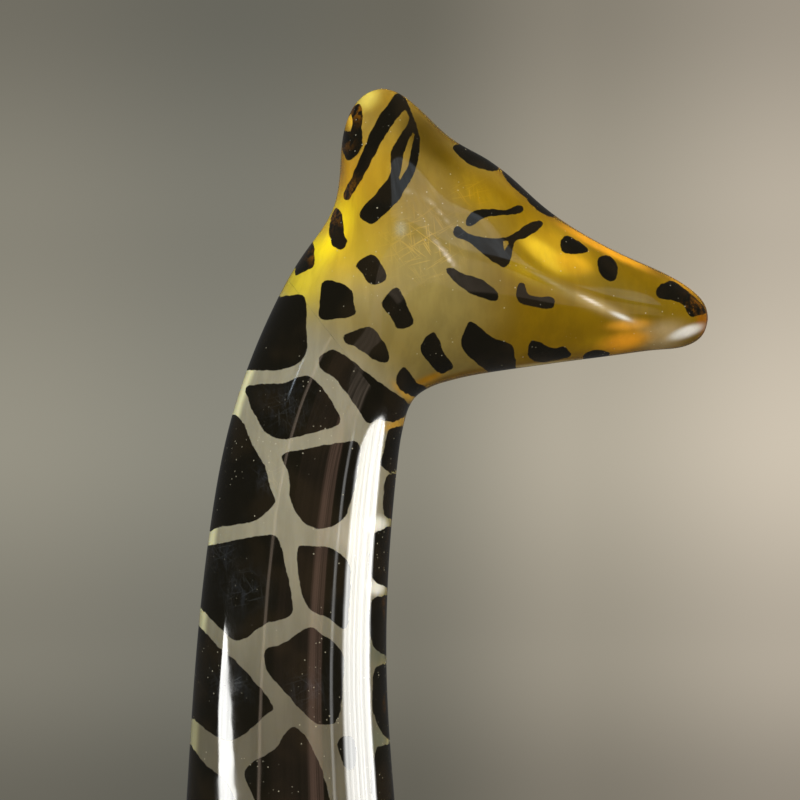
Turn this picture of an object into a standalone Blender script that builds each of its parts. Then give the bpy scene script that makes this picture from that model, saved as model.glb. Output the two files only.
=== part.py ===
"""A standing giraffe statue of tinted clear resin, pinned together from separate castings on a wooden plinth.

The frame is metres, +Z up, the giraffe faces +X, and the origin is the centre of the felt's underside.
The trunk is one loft from rump to nose, cut across at two seams into body, neck and head. Four legs butt
onto stubs under the body. Clear dowels bridge every seam, and a screw from below holds each foot.
"""

import math

import bmesh
import bpy
import numpy as np
from mathutils import Matrix, Vector

MM = 0.001

# Side outline of the trunk, in millimetres, one row for each station from rump to nose:
# dorsal x, dorsal z, ventral x, ventral z, half width.
SPINE = (
    (-90.0, 198.0, -90.0, 197.8, 0.0),  # rump
    (-88.5, 208.0, -87.5, 188.0, 11.0),
    (-83.0, 219.0, -78.0, 177.0, 20.0),
    (-72.0, 228.5, -60.0, 169.0, 28.0),
    (-57.0, 235.5, -34.0, 164.0, 32.5),
    (-42.0, 240.5, -6.0, 162.0, 34.0),
    (-29.0, 245.5, 24.0, 162.5, 34.5),  # belly
    (-19.5, 252.0, 52.0, 168.5, 34.5),
    (-12.0, 261.0, 70.5, 184.0, 34.0),
    (-6.5, 272.5, 77.5, 207.0, 32.5),  # withers and chest
    (-2.5, 286.0, 76.5, 232.0, 30.0),
    (0.5, 301.0, 72.0, 258.0, 27.0),
    (3.0, 320.0, 66.0, 288.0, 24.0),
    (5.4, 347.0, 57.5, 330.0, 20.8),
    (7.6, 376.7, 52.6, 374.0, 18.8),  # neck
    (9.4, 404.7, 50.7, 402.0, 17.6),
    (13.2, 439.1, 51.3, 431.0, 16.8),
    (19.0, 465.0, 52.8, 448.0, 16.8),
    (26.3, 483.0, 53.8, 455.5, 17.5),  # throat
    (33.2, 495.0, 54.6, 459.0, 18.2),
    (39.1, 504.2, 55.2, 461.0, 18.8),
    (40.7, 513.2, 56.0, 462.6, 19.0),
    (41.9, 521.4, 57.0, 463.9, 19.0),
    (45.4, 527.4, 58.6, 465.1, 19.0),
    (50.4, 529.1, 60.8, 466.2, 19.0),  # top of the horns
    (56.8, 525.6, 63.6, 467.1, 18.8),
    (63.9, 519.1, 67.6, 468.1, 18.2),
    (73.5, 513.8, 74.5, 469.3, 16.8),  # brow and jaw
    (83.3, 505.5, 83.0, 470.5, 14.8),
    (93.0, 498.7, 91.8, 471.7, 12.6),
    (102.7, 493.7, 101.0, 472.9, 10.6),  # muzzle
    (110.5, 490.2, 109.1, 473.9, 9.0),
    (116.3, 486.6, 115.2, 474.8, 6.8),
    (119.0, 483.5, 118.6, 477.2, 3.8),
    (119.7, 480.7, 119.7, 480.5, 0.0),  # nose tip
)
NECK_SEAM = 12.0  # station where the neck is bonded to the body
HEAD_SEAM = 18.5  # station where the head is bonded to the neck

# The two horns stand either side of a groove over the crown, in millimetres.
GROOVE_DEPTH = 10.0
GROOVE_HALF_WIDTH = 5.0
GROOVE_FROM_Z = 511.0
GROOVE_FULL_Z = 528.0

# Legs, in millimetres: height, centre x, centre y, half length along x, half width along y.
FORELEG = (
    (205.0, 50.0, 15.0, 21.0, 13.0),  # shoulder, inside the body
    (180.0, 52.0, 18.0, 19.0, 14.5),
    (158.0, 53.0, 20.0, 14.5, 13.0),
    (140.0, 53.5, 20.5, 12.2, 11.5),
    (115.0, 54.0, 21.0, 10.6, 10.2),
    (98.0, 54.5, 21.0, 11.0, 10.2),  # knee
    (82.0, 54.0, 21.0, 9.6, 9.2),
    (55.0, 54.0, 21.0, 8.4, 8.2),
    (38.0, 54.5, 21.0, 8.8, 8.4),
    (30.0, 55.5, 21.0, 10.8, 10.0),
    (18.1, 57.0, 21.0, 13.0, 11.5),  # hoof
)
HINDLEG = (
    (215.0, -55.0, 14.0, 24.0, 14.0),  # haunch, inside the body
    (190.0, -57.0, 17.0, 24.0, 16.0),
    (165.0, -58.0, 19.5, 18.5, 14.0),
    (140.0, -59.0, 20.5, 13.5, 12.0),
    (118.0, -62.0, 21.0, 11.0, 10.2),
    (100.0, -64.5, 21.0, 10.6, 9.6),  # hock
    (84.0, -64.5, 21.0, 9.4, 9.0),
    (55.0, -62.5, 21.0, 8.4, 8.2),
    (38.0, -61.5, 21.0, 8.8, 8.4),
    (30.0, -60.0, 21.0, 10.8, 10.0),
    (18.1, -58.0, 21.0, 13.0, 11.5),  # hoof
)
LEG_SEAM_Z = 140.0 * MM
LEGS = {"fore": FORELEG, "hind": HINDLEG}
SIDES = {"left": 1.0, "right": -1.0}

# Plinth, felt and fixings.
GLUE_GAP = 0.3 * MM
FELT_THICKNESS = 1.5 * MM
FELT_INSET = 3.0 * MM
PLINTH_HALF_LENGTH = 96.0 * MM
PLINTH_HALF_WIDTH = 54.0 * MM
PLINTH_BOTTOM = FELT_THICKNESS + GLUE_GAP
PLINTH_HEIGHT = 16.0 * MM
PLINTH_EDGE_ROUND = 3.0 * MM
FOOT_Z = PLINTH_BOTTOM + PLINTH_HEIGHT + GLUE_GAP

SCREW_SHANK_RADIUS = 2.5 * MM
SCREW_HEAD_RADIUS = 4.8 * MM
SCREW_HEAD_HEIGHT = 2.6 * MM
SCREW_LENGTH = 26.0 * MM
SCREW_POINT = 1.5 * MM
SOCKET_RADIUS = 1.7 * MM
SOCKET_DEPTH = 1.6 * MM
INSERT_RADIUS = 4.2 * MM
INSERT_LENGTH = 12.0 * MM
INSERT_FLOOR_GAP = 0.5 * MM

HEAD_DOWEL = (4.0 * MM, 34.0 * MM)  # radius, length
NECK_DOWEL = (6.0 * MM, 52.0 * MM)
LEG_DOWEL = (4.0 * MM, 34.0 * MM)

# Tail, in millimetres: x, z and radius along its path, from inside the rump to the tuft's tip.
TAIL = (
    (-80.0, 204.0, 2.3),
    (-88.0, 204.0, 2.3),
    (-95.5, 202.0, 2.3),
    (-99.0, 192.0, 2.2),
    (-99.5, 172.0, 2.0),
    (-98.0, 152.0, 1.9),
    (-96.5, 139.0, 2.6),
    (-95.8, 129.0, 4.6),
    (-95.4, 119.0, 4.2),
    (-95.2, 110.0, 1.2),
)
TAIL_SOCKET_RADIUS = 2.7 * MM
TAIL_SOCKET_MOUTH_X = -94.0 * MM

# Mesh density.
TRUNK_SIDES = 24
BODY_RING_STEP = 8.0  # millimetres between rings
NECK_RING_STEP = 8.0
HEAD_RING_STEP = 4.5
LEG_RING_STEP = 9.0
LEG_SIDES = 16
ROUND_SIDES = 16
PLINTH_SIDES = 48

# Colours: red, green, blue, then roughness, metallic and transmission.
FINISHES = {
    "amber_resin": ((0.62, 0.40, 0.06), 0.08, 0.0, 0.35),
    "clear_resin": ((0.52, 0.49, 0.38), 0.08, 0.0, 0.35),
    "dowel_resin": ((0.60, 0.58, 0.50), 0.10, 0.0, 0.60),
    "dark_wood": ((0.055, 0.030, 0.018), 0.38, 0.0, 0.0),
    "felt": ((0.03, 0.05, 0.03), 0.95, 0.0, 0.0),
    "steel": ((0.55, 0.55, 0.56), 0.30, 1.0, 0.0),
    "brass": ((0.70, 0.50, 0.20), 0.32, 1.0, 0.0),
}


def clear_scene():
    for obj in list(bpy.data.objects):
        bpy.data.objects.remove(obj)


def new_collection(name):
    collection = bpy.data.collections.new(name)
    bpy.context.scene.collection.children.link(collection)
    return collection


def finish(name):
    """The material of that name, made on first use."""
    found = bpy.data.materials.get(name)
    if found:
        return found
    colour, roughness, metallic, transmission = FINISHES[name]
    material = bpy.data.materials.new(name)
    material.use_nodes = True
    shader = material.node_tree.nodes["Principled BSDF"]
    shader.inputs["Base Color"].default_value = (*colour, 1.0)
    shader.inputs["Roughness"].default_value = roughness
    shader.inputs["Metallic"].default_value = metallic
    shader.inputs["Transmission Weight"].default_value = transmission
    return material


def natural_spline(knots, values):
    """A smooth curve through the values at the knots, with straight ends, as a function of the knot variable."""
    knots, values = np.asarray(knots, float), np.asarray(values, float)
    count = len(knots)
    step = np.diff(knots)
    matrix, right = np.eye(count), np.zeros_like(values)
    for i in range(1, count - 1):
        matrix[i, i - 1 : i + 2] = step[i - 1], 2 * (step[i - 1] + step[i]), step[i]
        right[i] = 6 * ((values[i + 1] - values[i]) / step[i] - (values[i] - values[i - 1]) / step[i - 1])
    bend = np.linalg.solve(matrix, right)

    def curve(t):
        i = int(np.clip(np.searchsorted(knots, t) - 1, 0, count - 2))
        a, b = (knots[i + 1] - t) / step[i], (t - knots[i]) / step[i]
        curved = (a**3 - a) * bend[i] + (b**3 - b) * bend[i + 1]
        return a * values[i] + b * values[i + 1] + curved * step[i] ** 2 / 6

    return curve


class Trunk:
    """The loft from rump to nose. Its variable t is the mean distance along the dorsal and ventral lines."""

    def __init__(self):
        rows = np.array(SPINE)
        dorsal = np.linalg.norm(np.diff(rows[:, 0:2], axis=0), axis=1)
        ventral = np.linalg.norm(np.diff(rows[:, 2:4], axis=0), axis=1)
        self.knots = np.concatenate(([0.0], np.cumsum((dorsal + ventral) / 2)))
        self.curve = natural_spline(self.knots, rows)

    def at_station(self, station):
        return float(np.interp(station, range(len(self.knots)), self.knots))

    def section(self, t):
        """Centre, unit vector towards the back, half height and half width of the section at t."""
        dorsal_x, dorsal_z, ventral_x, ventral_z, half_width = self.curve(t)
        dorsal, ventral = Vector((dorsal_x, 0, dorsal_z)), Vector((ventral_x, 0, ventral_z))
        half = (dorsal - ventral) / 2
        return (dorsal + ventral) / 2, half.normalized(), half.length, max(half_width, 0.0)

    def ring(self, t):
        """Points round the section, in millimetres: an ellipse, with a groove between the horns over the crown."""
        centre, up, half_height, half_width = self.section(t)
        crown = np.clip(((centre + up * half_height).z - GROOVE_FROM_Z) / (GROOVE_FULL_Z - GROOVE_FROM_Z), 0, 1)
        depth = GROOVE_DEPTH * crown**2 * (3 - 2 * crown)
        angles = [2 * math.pi * k / TRUNK_SIDES for k in range(TRUNK_SIDES)]
        side = [half_width * math.sin(angle) for angle in angles]
        rise = [half_height * math.cos(angle) for angle in angles]
        rise = [
            r - depth * max(r / half_height, 0.0) * math.exp(-((s / GROOVE_HALF_WIDTH) ** 2))
            for r, s in zip(rise, side)
        ]
        stretch = half_height / max(rise)
        return [
            centre + up * (r * stretch if r > 0 else r) + Vector((0, s, 0)) for r, s in zip(rise, side)
        ]

    def axis(self, t):
        """Unit vector along the trunk, square to the section at t."""
        _, up, _, _ = self.section(t)
        return Vector((0, 1, 0)).cross(up)


def loft(name, rings, collection, slot):
    """A closed mesh through the rings, given in millimetres. A ring of one point closes an end to a pole."""
    mesh = bmesh.new()
    loops = [[mesh.verts.new(point * MM) for point in ring] for ring in rings]
    for lower, upper in zip(loops, loops[1:]):
        sides = max(len(lower), len(upper))
        for k in range(sides):
            after = (k + 1) % sides
            if len(lower) == 1:
                corners = [lower[0], upper[after], upper[k]]
            elif len(upper) == 1:
                corners = [lower[k], lower[after], upper[0]]
            else:
                corners = [lower[k], lower[after], upper[after], upper[k]]
            mesh.faces.new(corners)
    for loop in (loops[0], loops[-1]):
        if len(loop) > 1:
            mesh.faces.new(loop)
    bmesh.ops.recalc_face_normals(mesh, faces=mesh.faces)
    return place(name, mesh, collection, slot)


def place(name, mesh, collection, slot):
    """A new object from a bmesh, shaded smooth but for its sharp edges."""
    data = bpy.data.meshes.new(name)
    mesh.to_mesh(data)
    mesh.free()
    data.shade_smooth()
    data.set_sharp_from_angle(angle=math.radians(40))
    obj = bpy.data.objects.new(name, data)
    collection.objects.link(obj)
    if slot:
        data.materials.append(finish(slot))
    return obj


def hide_as_cutter(obj):
    obj.hide_render = True
    obj.display_type = "WIRE"
    return obj


def boolean(obj, other, operation="DIFFERENCE"):
    modifier = obj.modifiers.new(operation.lower(), "BOOLEAN")
    modifier.operation = operation
    modifier.object = other


def rod(name, radius, start, end, collection, slot=None, sides=ROUND_SIDES):
    """A plain cylinder from one point to another, in metres."""
    mesh = bmesh.new()
    along = end - start
    bmesh.ops.create_cone(
        mesh, cap_ends=True, segments=sides, radius1=radius, radius2=radius, depth=along.length
    )
    turn = Vector((0, 0, 1)).rotation_difference(along).to_matrix().to_4x4()
    obj = place(name, mesh, collection, slot)
    obj.matrix_world = Matrix.Translation((start + end) / 2) @ turn
    return obj


def trunk_piece(trunk, name, stations, ring_step, slot, collection):
    """The trunk between two stations. An open end is set back by half the glue gap."""
    start, end = trunk.at_station(stations[0]), trunk.at_station(stations[1])
    count = round((end - start) / ring_step) + 1
    places = list(np.linspace(start, end, count))
    rings = [trunk.ring(t) for t in places[1:-1]]
    for t, inward in ((start, 1), (end, -1)):
        centre, _, half_height, _ = trunk.section(t)
        if half_height < 1.0:
            cap = [centre]
        else:
            cap = [point + trunk.axis(t) * inward * GLUE_GAP / MM / 2 for point in trunk.ring(t)]
        rings = [cap] + rings if inward > 0 else rings + [cap]
    return loft(name, rings, collection, slot)


def leg_rings(rows, side, top, bottom):
    """Ellipses down a leg between two heights, in millimetres."""
    rows = np.array(rows)[::-1]
    curve = natural_spline(rows[:, 0], rows[:, 1:])
    rings = []
    for z in np.linspace(bottom, top, round((top - bottom) / LEG_RING_STEP) + 1):
        x, y, half_length, half_width = curve(z)
        angles = [2 * math.pi * k / LEG_SIDES for k in range(LEG_SIDES)]
        rings.append(
            [Vector((x + half_length * math.cos(a), side * y + half_width * math.sin(a), z)) for a in angles]
        )
    return rings


def leg_centre(rows, side, z):
    """The leg's centre at a height, in metres."""
    rows = np.array(rows)[::-1]
    x, y, _, _ = natural_spline(rows[:, 0], rows[:, 1:])(z / MM)
    return Vector((x * MM, side * y * MM, z))


def drill(obj, radius, start, end, cutters):
    """Cuts a round hole of that radius between two points."""
    hole = hide_as_cutter(rod(f"{obj.name}_hole", radius, start, end, cutters))
    boolean(obj, hole)


def dowel(name, size, centre, direction, pieces, parts, cutters):
    """A clear dowel across a seam, and its blind hole in each piece, which ends a gap past the dowel."""
    radius, length = size
    half = direction.normalized() * length / 2
    rod(name, radius, centre - half, centre + half, parts, "dowel_resin")
    reach = direction.normalized() * (length / 2 + GLUE_GAP)
    for piece in pieces:
        drill(piece, radius + GLUE_GAP, centre - reach, centre + reach, cutters)


def build_trunk(parts, cutters):
    """Body, neck and head, with the dowels between them."""
    trunk = Trunk()
    nose = len(SPINE) - 1
    body = trunk_piece(trunk, "body", (0, NECK_SEAM), BODY_RING_STEP, "clear_resin", parts)
    neck = trunk_piece(trunk, "neck", (NECK_SEAM, HEAD_SEAM), NECK_RING_STEP, "clear_resin", parts)
    head = trunk_piece(trunk, "head", (HEAD_SEAM, nose), HEAD_RING_STEP, "amber_resin", parts)
    seams = (
        ("neck_dowel", NECK_DOWEL, NECK_SEAM, (body, neck)),
        ("head_dowel", HEAD_DOWEL, HEAD_SEAM, (neck, head)),
    )
    for name, size, station, pieces in seams:
        t = trunk.at_station(station)
        dowel(name, size, trunk.section(t)[0] * MM, trunk.axis(t), pieces, parts, cutters)
    return body


def build_legs(body, parts, cutters):
    """Four legs under stubs that are joined to the body, each with a dowel above and a brass insert below."""
    for end, rows in LEGS.items():
        for side_name, side in SIDES.items():
            where = f"{end}_{side_name}"
            seam = LEG_SEAM_Z / MM
            stub = loft(
                f"{where}_stub",
                leg_rings(rows, side, rows[0][0], seam + GLUE_GAP / MM / 2),
                cutters,
                "clear_resin",
            )
            boolean(body, hide_as_cutter(stub), "UNION")
            leg = loft(
                f"{where}_leg",
                leg_rings(rows, side, seam - GLUE_GAP / MM / 2, FOOT_Z / MM),
                parts,
                "clear_resin",
            )
            seam_centre = leg_centre(rows, side, LEG_SEAM_Z)
            dowel(f"{where}_dowel", LEG_DOWEL, seam_centre, Vector((0, 0, 1)), (body, leg), parts, cutters)
            foot = leg_centre(rows, side, FOOT_Z)
            build_insert(f"{where}_insert", leg, foot, parts, cutters)


def build_insert(name, leg, foot, parts, cutters):
    """A brass bush in a blind hole in the foot, open at both ends for the screw."""
    up = Vector((0, 0, 1))
    bottom = foot + up * INSERT_FLOOR_GAP
    top = bottom + up * INSERT_LENGTH
    insert = rod(name, INSERT_RADIUS, bottom, top, parts, "brass")
    drill(insert, SCREW_SHANK_RADIUS + GLUE_GAP, bottom - up * MM, top + up * MM, cutters)
    drill(leg, INSERT_RADIUS + GLUE_GAP, foot - up * MM, top + up * GLUE_GAP, cutters)


def revolve(name, profile, collection, slot, sides=ROUND_SIDES):
    """A turned solid about Z from a profile of (radius, height) points that runs from top to bottom."""
    data = bpy.data.meshes.new(name)
    points = [(radius, 0.0, height) for radius, height in profile]
    data.from_pydata(points, [(k, k + 1) for k in range(len(points) - 1)], [])
    obj = bpy.data.objects.new(name, data)
    collection.objects.link(obj)
    turn = obj.modifiers.new("turn", "SCREW")
    turn.steps = turn.render_steps = sides
    turn.use_merge_vertices = True
    turn.merge_threshold = 0.00001
    if slot:
        data.materials.append(finish(slot))
    return obj


def screw_profile(clearance=0.0):
    """Outline of a countersunk screw standing point up, with its head's face at height 0."""
    shank, head = SCREW_SHANK_RADIUS + clearance, SCREW_HEAD_RADIUS + clearance
    return (
        (0.0, SCREW_LENGTH + clearance),
        (shank - SCREW_POINT / 2, SCREW_LENGTH + clearance),
        (shank, SCREW_LENGTH - SCREW_POINT),
        (shank, SCREW_HEAD_HEIGHT),
        (head, 0.3 * MM),
        (head, -clearance),
        (0.0, -clearance),
    )


def as_mesh(obj):
    """Replaces an object's mesh and modifiers by the mesh that they make."""
    bpy.context.view_layer.update()
    data = bpy.data.meshes.new_from_object(obj.evaluated_get(bpy.context.evaluated_depsgraph_get()))
    obj.modifiers.clear()
    obj.data = data
    data.shade_smooth()
    data.set_sharp_from_angle(angle=math.radians(40))
    return data


def build_base(parts, cutters):
    """The plinth with its felt, and one countersunk screw under each foot."""
    plinth = oval_slab("plinth", 0.0, PLINTH_BOTTOM, PLINTH_HEIGHT, parts, "dark_wood")
    edge = plinth.modifiers.new("rounded_edge", "BEVEL")
    edge.width = PLINTH_EDGE_ROUND
    edge.segments = 3
    edge.limit_method = "ANGLE"
    oval_slab("felt", FELT_INSET, 0.0, FELT_THICKNESS, parts, "felt")

    master = revolve("screw_master", screw_profile(), cutters, "steel")
    up = Vector((0, 0, 1))
    socket = rod("screw_socket", SOCKET_RADIUS, -up * MM, up * SOCKET_DEPTH, cutters, sides=6)
    boolean(master, hide_as_cutter(socket))
    screw_mesh = as_mesh(hide_as_cutter(master))
    head_face = PLINTH_BOTTOM + GLUE_GAP
    for end, rows in LEGS.items():
        for side_name, side in SIDES.items():
            foot = leg_centre(rows, side, FOOT_Z)
            spot = Vector((foot.x, foot.y, head_face))
            screw = bpy.data.objects.new(f"{end}_{side_name}_screw", screw_mesh)
            screw.location = spot
            parts.objects.link(screw)
            hole = revolve(f"{end}_{side_name}_screw_hole", screw_profile(GLUE_GAP * 2), cutters, None)
            hole.location = spot
            boolean(plinth, hide_as_cutter(hole))


def oval_slab(name, inset, bottom, height, collection, slot):
    """An upright oval disc, smaller than the plinth's outline by the inset."""
    mesh = bmesh.new()
    bmesh.ops.create_cone(mesh, cap_ends=True, segments=PLINTH_SIDES, radius1=1.0, radius2=1.0, depth=height)
    size = Vector((PLINTH_HALF_LENGTH - inset, PLINTH_HALF_WIDTH - inset, 1.0))
    bmesh.ops.scale(mesh, vec=size, verts=mesh.verts)
    bmesh.ops.translate(mesh, vec=Vector((0, 0, bottom + height / 2)), verts=mesh.verts)
    return place(name, mesh, collection, slot)


def build_tail(body, parts, cutters):
    """A tapered rod with a swelling tuft, let into the rump."""
    curve = bpy.data.curves.new("tail", "CURVE")
    curve.dimensions = "3D"
    curve.bevel_depth = MM
    curve.bevel_resolution = 2
    curve.resolution_u = 4
    curve.use_fill_caps = True
    line = curve.splines.new("BEZIER")
    line.bezier_points.add(len(TAIL) - 1)
    for point, (x, z, radius) in zip(line.bezier_points, TAIL):
        point.co = Vector((x, 0, z)) * MM
        point.radius = radius
        point.handle_left_type = point.handle_right_type = "AUTO"
    curve.materials.append(finish("clear_resin"))
    tail = bpy.data.objects.new("tail", curve)
    parts.objects.link(tail)
    inner = Vector((TAIL[0][0] * MM + GLUE_GAP, 0, TAIL[0][1] * MM))
    mouth = Vector((TAIL_SOCKET_MOUTH_X, 0, inner.z))
    drill(body, TAIL_SOCKET_RADIUS, inner, mouth, cutters)


def main():
    clear_scene()
    parts = new_collection("giraffe_statue")
    cutters = new_collection("cutters")
    body = build_trunk(parts, cutters)
    build_legs(body, parts, cutters)
    build_tail(body, parts, cutters)
    build_base(parts, cutters)


main()
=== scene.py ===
"""Looks of the giraffe statue: polished tinted resin with painted markings, on a varnished oval plinth.

The resin castings are rebuilt finely over the CAD's own stations. The markings are a signed distance to
painted outlines, stored on each vertex and cut sharp by the material. Lengths are millimetres in the CAD's
frame, and MM turns them into metres. Only the lights' distances and the floor are in metres.
"""

import math

import bmesh
import bpy
import numpy as np
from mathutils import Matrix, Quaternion, Vector
from mathutils.bvhtree import BVHTree


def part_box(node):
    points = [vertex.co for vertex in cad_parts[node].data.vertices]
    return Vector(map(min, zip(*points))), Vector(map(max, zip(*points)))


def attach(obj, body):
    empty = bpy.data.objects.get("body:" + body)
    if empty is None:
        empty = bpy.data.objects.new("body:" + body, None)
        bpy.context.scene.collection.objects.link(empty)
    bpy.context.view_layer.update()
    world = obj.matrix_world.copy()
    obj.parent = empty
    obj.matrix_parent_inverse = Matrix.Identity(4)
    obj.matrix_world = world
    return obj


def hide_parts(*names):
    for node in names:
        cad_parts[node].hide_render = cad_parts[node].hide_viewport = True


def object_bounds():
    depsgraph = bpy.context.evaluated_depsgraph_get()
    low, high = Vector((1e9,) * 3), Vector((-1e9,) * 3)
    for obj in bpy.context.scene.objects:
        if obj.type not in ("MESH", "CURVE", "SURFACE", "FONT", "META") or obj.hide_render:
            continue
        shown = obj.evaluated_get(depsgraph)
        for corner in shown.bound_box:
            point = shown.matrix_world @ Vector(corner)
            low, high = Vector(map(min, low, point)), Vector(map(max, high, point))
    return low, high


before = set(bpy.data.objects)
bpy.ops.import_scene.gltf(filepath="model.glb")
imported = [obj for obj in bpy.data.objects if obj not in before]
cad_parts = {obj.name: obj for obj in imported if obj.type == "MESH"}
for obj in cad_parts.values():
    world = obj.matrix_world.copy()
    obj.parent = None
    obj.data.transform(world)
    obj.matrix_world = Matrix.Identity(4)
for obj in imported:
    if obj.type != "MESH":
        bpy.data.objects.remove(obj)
CAD_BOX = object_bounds()
MM = 0.001

# ---------------------------------------------------------------- shape

# Side outline of the trunk, one row for each station from rump to nose:
# dorsal x, dorsal z, ventral x, ventral z, half width.
SPINE = (
    (-90, 198, -90, 197.8, 0),  # rump
    (-88.5, 208, -87.5, 188, 11),
    (-83, 219, -78, 177, 20),
    (-72, 228.5, -60, 169, 28),
    (-57, 235.5, -34, 164, 32.5),
    (-42, 240.5, -6, 162, 34),
    (-29, 245.5, 24, 162.5, 34.5),  # belly
    (-19.5, 252, 52, 168.5, 34.5),
    (-12, 261, 70.5, 184, 34),
    (-6.5, 272.5, 77.5, 207, 32.5),  # withers and chest
    (-2.5, 286, 76.5, 232, 30),
    (0.5, 301, 72, 258, 27),
    (3, 320, 66, 288, 24),
    (5.4, 347, 57.5, 330, 20.8),
    (7.6, 376.7, 52.6, 374, 18.8),  # neck
    (9.4, 404.7, 50.7, 402, 17.6),
    (13.2, 439.1, 51.3, 431, 16.8),
    (19, 465, 52.8, 448, 16.8),
    (26.3, 483, 53.8, 455.5, 17.5),  # throat
    (33.2, 495, 54.6, 459, 18.2),
    (39.1, 504.2, 55.2, 461, 18.8),
    (40.7, 513.2, 56, 462.6, 19),
    (41.9, 521.4, 57, 463.9, 19),
    (45.4, 527.4, 58.6, 465.1, 19),
    (50.4, 529.1, 60.8, 466.2, 19),  # top of the horns
    (56.8, 525.6, 63.6, 467.1, 18.8),
    (63.9, 519.1, 67.6, 468.1, 18.2),
    (73.5, 513.8, 74.5, 469.3, 16.8),  # brow and jaw
    (83.3, 505.5, 83, 470.5, 14.8),
    (93, 498.7, 91.8, 471.7, 12.6),
    (102.7, 493.7, 101, 472.9, 10.6),  # muzzle
    (110.5, 490.2, 109.1, 473.9, 9),
    (116.3, 486.6, 115.2, 474.8, 6.8),
    (119, 483.5, 118.6, 477.2, 3.8),
    (119.7, 480.7, 119.7, 480.5, 0),  # nose tip
)
NECK_SEAM = 12.0
HEAD_SEAM = 18.5
GROOVE_DEPTH = 10.0
GROOVE_HALF_WIDTH = 5.0
GROOVE_FROM_Z = 511.0
GROOVE_FULL_Z = 528.0

# Legs: height, centre x, centre y, half length along x, half width along y.
FORELEG = (
    (205, 50, 15, 21, 13),
    (180, 52, 18, 19, 14.5),
    (158, 53, 20, 14.5, 13),
    (140, 53.5, 20.5, 12.2, 11.5),
    (115, 54, 21, 10.6, 10.2),
    (98, 54.5, 21, 11, 10.2),
    (82, 54, 21, 9.6, 9.2),
    (55, 54, 21, 8.4, 8.2),
    (38, 54.5, 21, 8.8, 8.4),
    (30, 55.5, 21, 10.8, 10),
    (18.1, 57, 21, 13, 11.5),
)
HINDLEG = (
    (215, -55, 14, 24, 14),
    (190, -57, 17, 24, 16),
    (165, -58, 19.5, 18.5, 14),
    (140, -59, 20.5, 13.5, 12),
    (118, -62, 21, 11, 10.2),
    (100, -64.5, 21, 10.6, 9.6),
    (84, -64.5, 21, 9.4, 9),
    (55, -62.5, 21, 8.4, 8.2),
    (38, -61.5, 21, 8.8, 8.4),
    (30, -60, 21, 10.8, 10),
    (18.1, -58, 21, 13, 11.5),
)
LEGS = {"fore": FORELEG, "hind": HINDLEG}
SIDES = {"left": 1.0, "right": -1.0}
LEG_SEAM_Z = 140.0
SEAM_GAP = 0.02
HOOF_TOP_Z = 30.0
CLEFT_DEPTH = 1.6
CLEFT_HALF_ANGLE = 0.16
FOOT_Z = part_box("fore_left_leg")[0].z / MM

# Tail: x, z, radius. Its tuft is combed into twisting locks.
TAIL = (
    (-82, 204, 2.3),
    (-88, 204, 2.3),
    (-95.5, 202, 2.3),
    (-99, 192, 2.2),
    (-99.5, 172, 2),
    (-98, 152, 1.9),
    (-96.5, 139, 2.6),
    (-95.8, 129, 4.6),
    (-95.4, 119, 4.2),
    (-95.2, 110, 1.2),
)
TUFT_TOP_Z = 138.0
LOCKS = 6
LOCK_DEPTH = 0.10
LOCK_TWIST = 0.25


def natural_spline(knots, values):
    """A smooth curve with straight ends through the values at the knots, for an array of knot values."""
    knots, values = np.asarray(knots, float), np.asarray(values, float)
    count = len(knots)
    step = np.diff(knots)
    matrix, right = np.eye(count), np.zeros_like(values)
    for i in range(1, count - 1):
        matrix[i, i - 1 : i + 2] = step[i - 1], 2 * (step[i - 1] + step[i]), step[i]
        right[i] = 6 * ((values[i + 1] - values[i]) / step[i] - (values[i] - values[i - 1]) / step[i - 1])
    bend = np.linalg.solve(matrix, right)

    def curve(t):
        t = np.atleast_1d(t)
        i = np.clip(np.searchsorted(knots, t) - 1, 0, count - 2)
        gap = step[i][:, None]
        a = (knots[i + 1] - t)[:, None] / gap
        b = 1 - a
        curved = (a**3 - a) * bend[i] + (b**3 - b) * bend[i + 1]
        return a * values[i] + b * values[i + 1] + curved * gap**2 / 6

    return curve


def smoothstep(low, high, value):
    t = np.clip((value - low) / (high - low), 0, 1)
    return t * t * (3 - 2 * t)


def unit(vectors):
    return vectors / np.maximum(np.linalg.norm(vectors, axis=-1, keepdims=True), 1e-9)


def turns(count):
    """Evenly spaced angles round a full turn."""
    return np.linspace(0, 2 * math.pi, count, endpoint=False)


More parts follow.
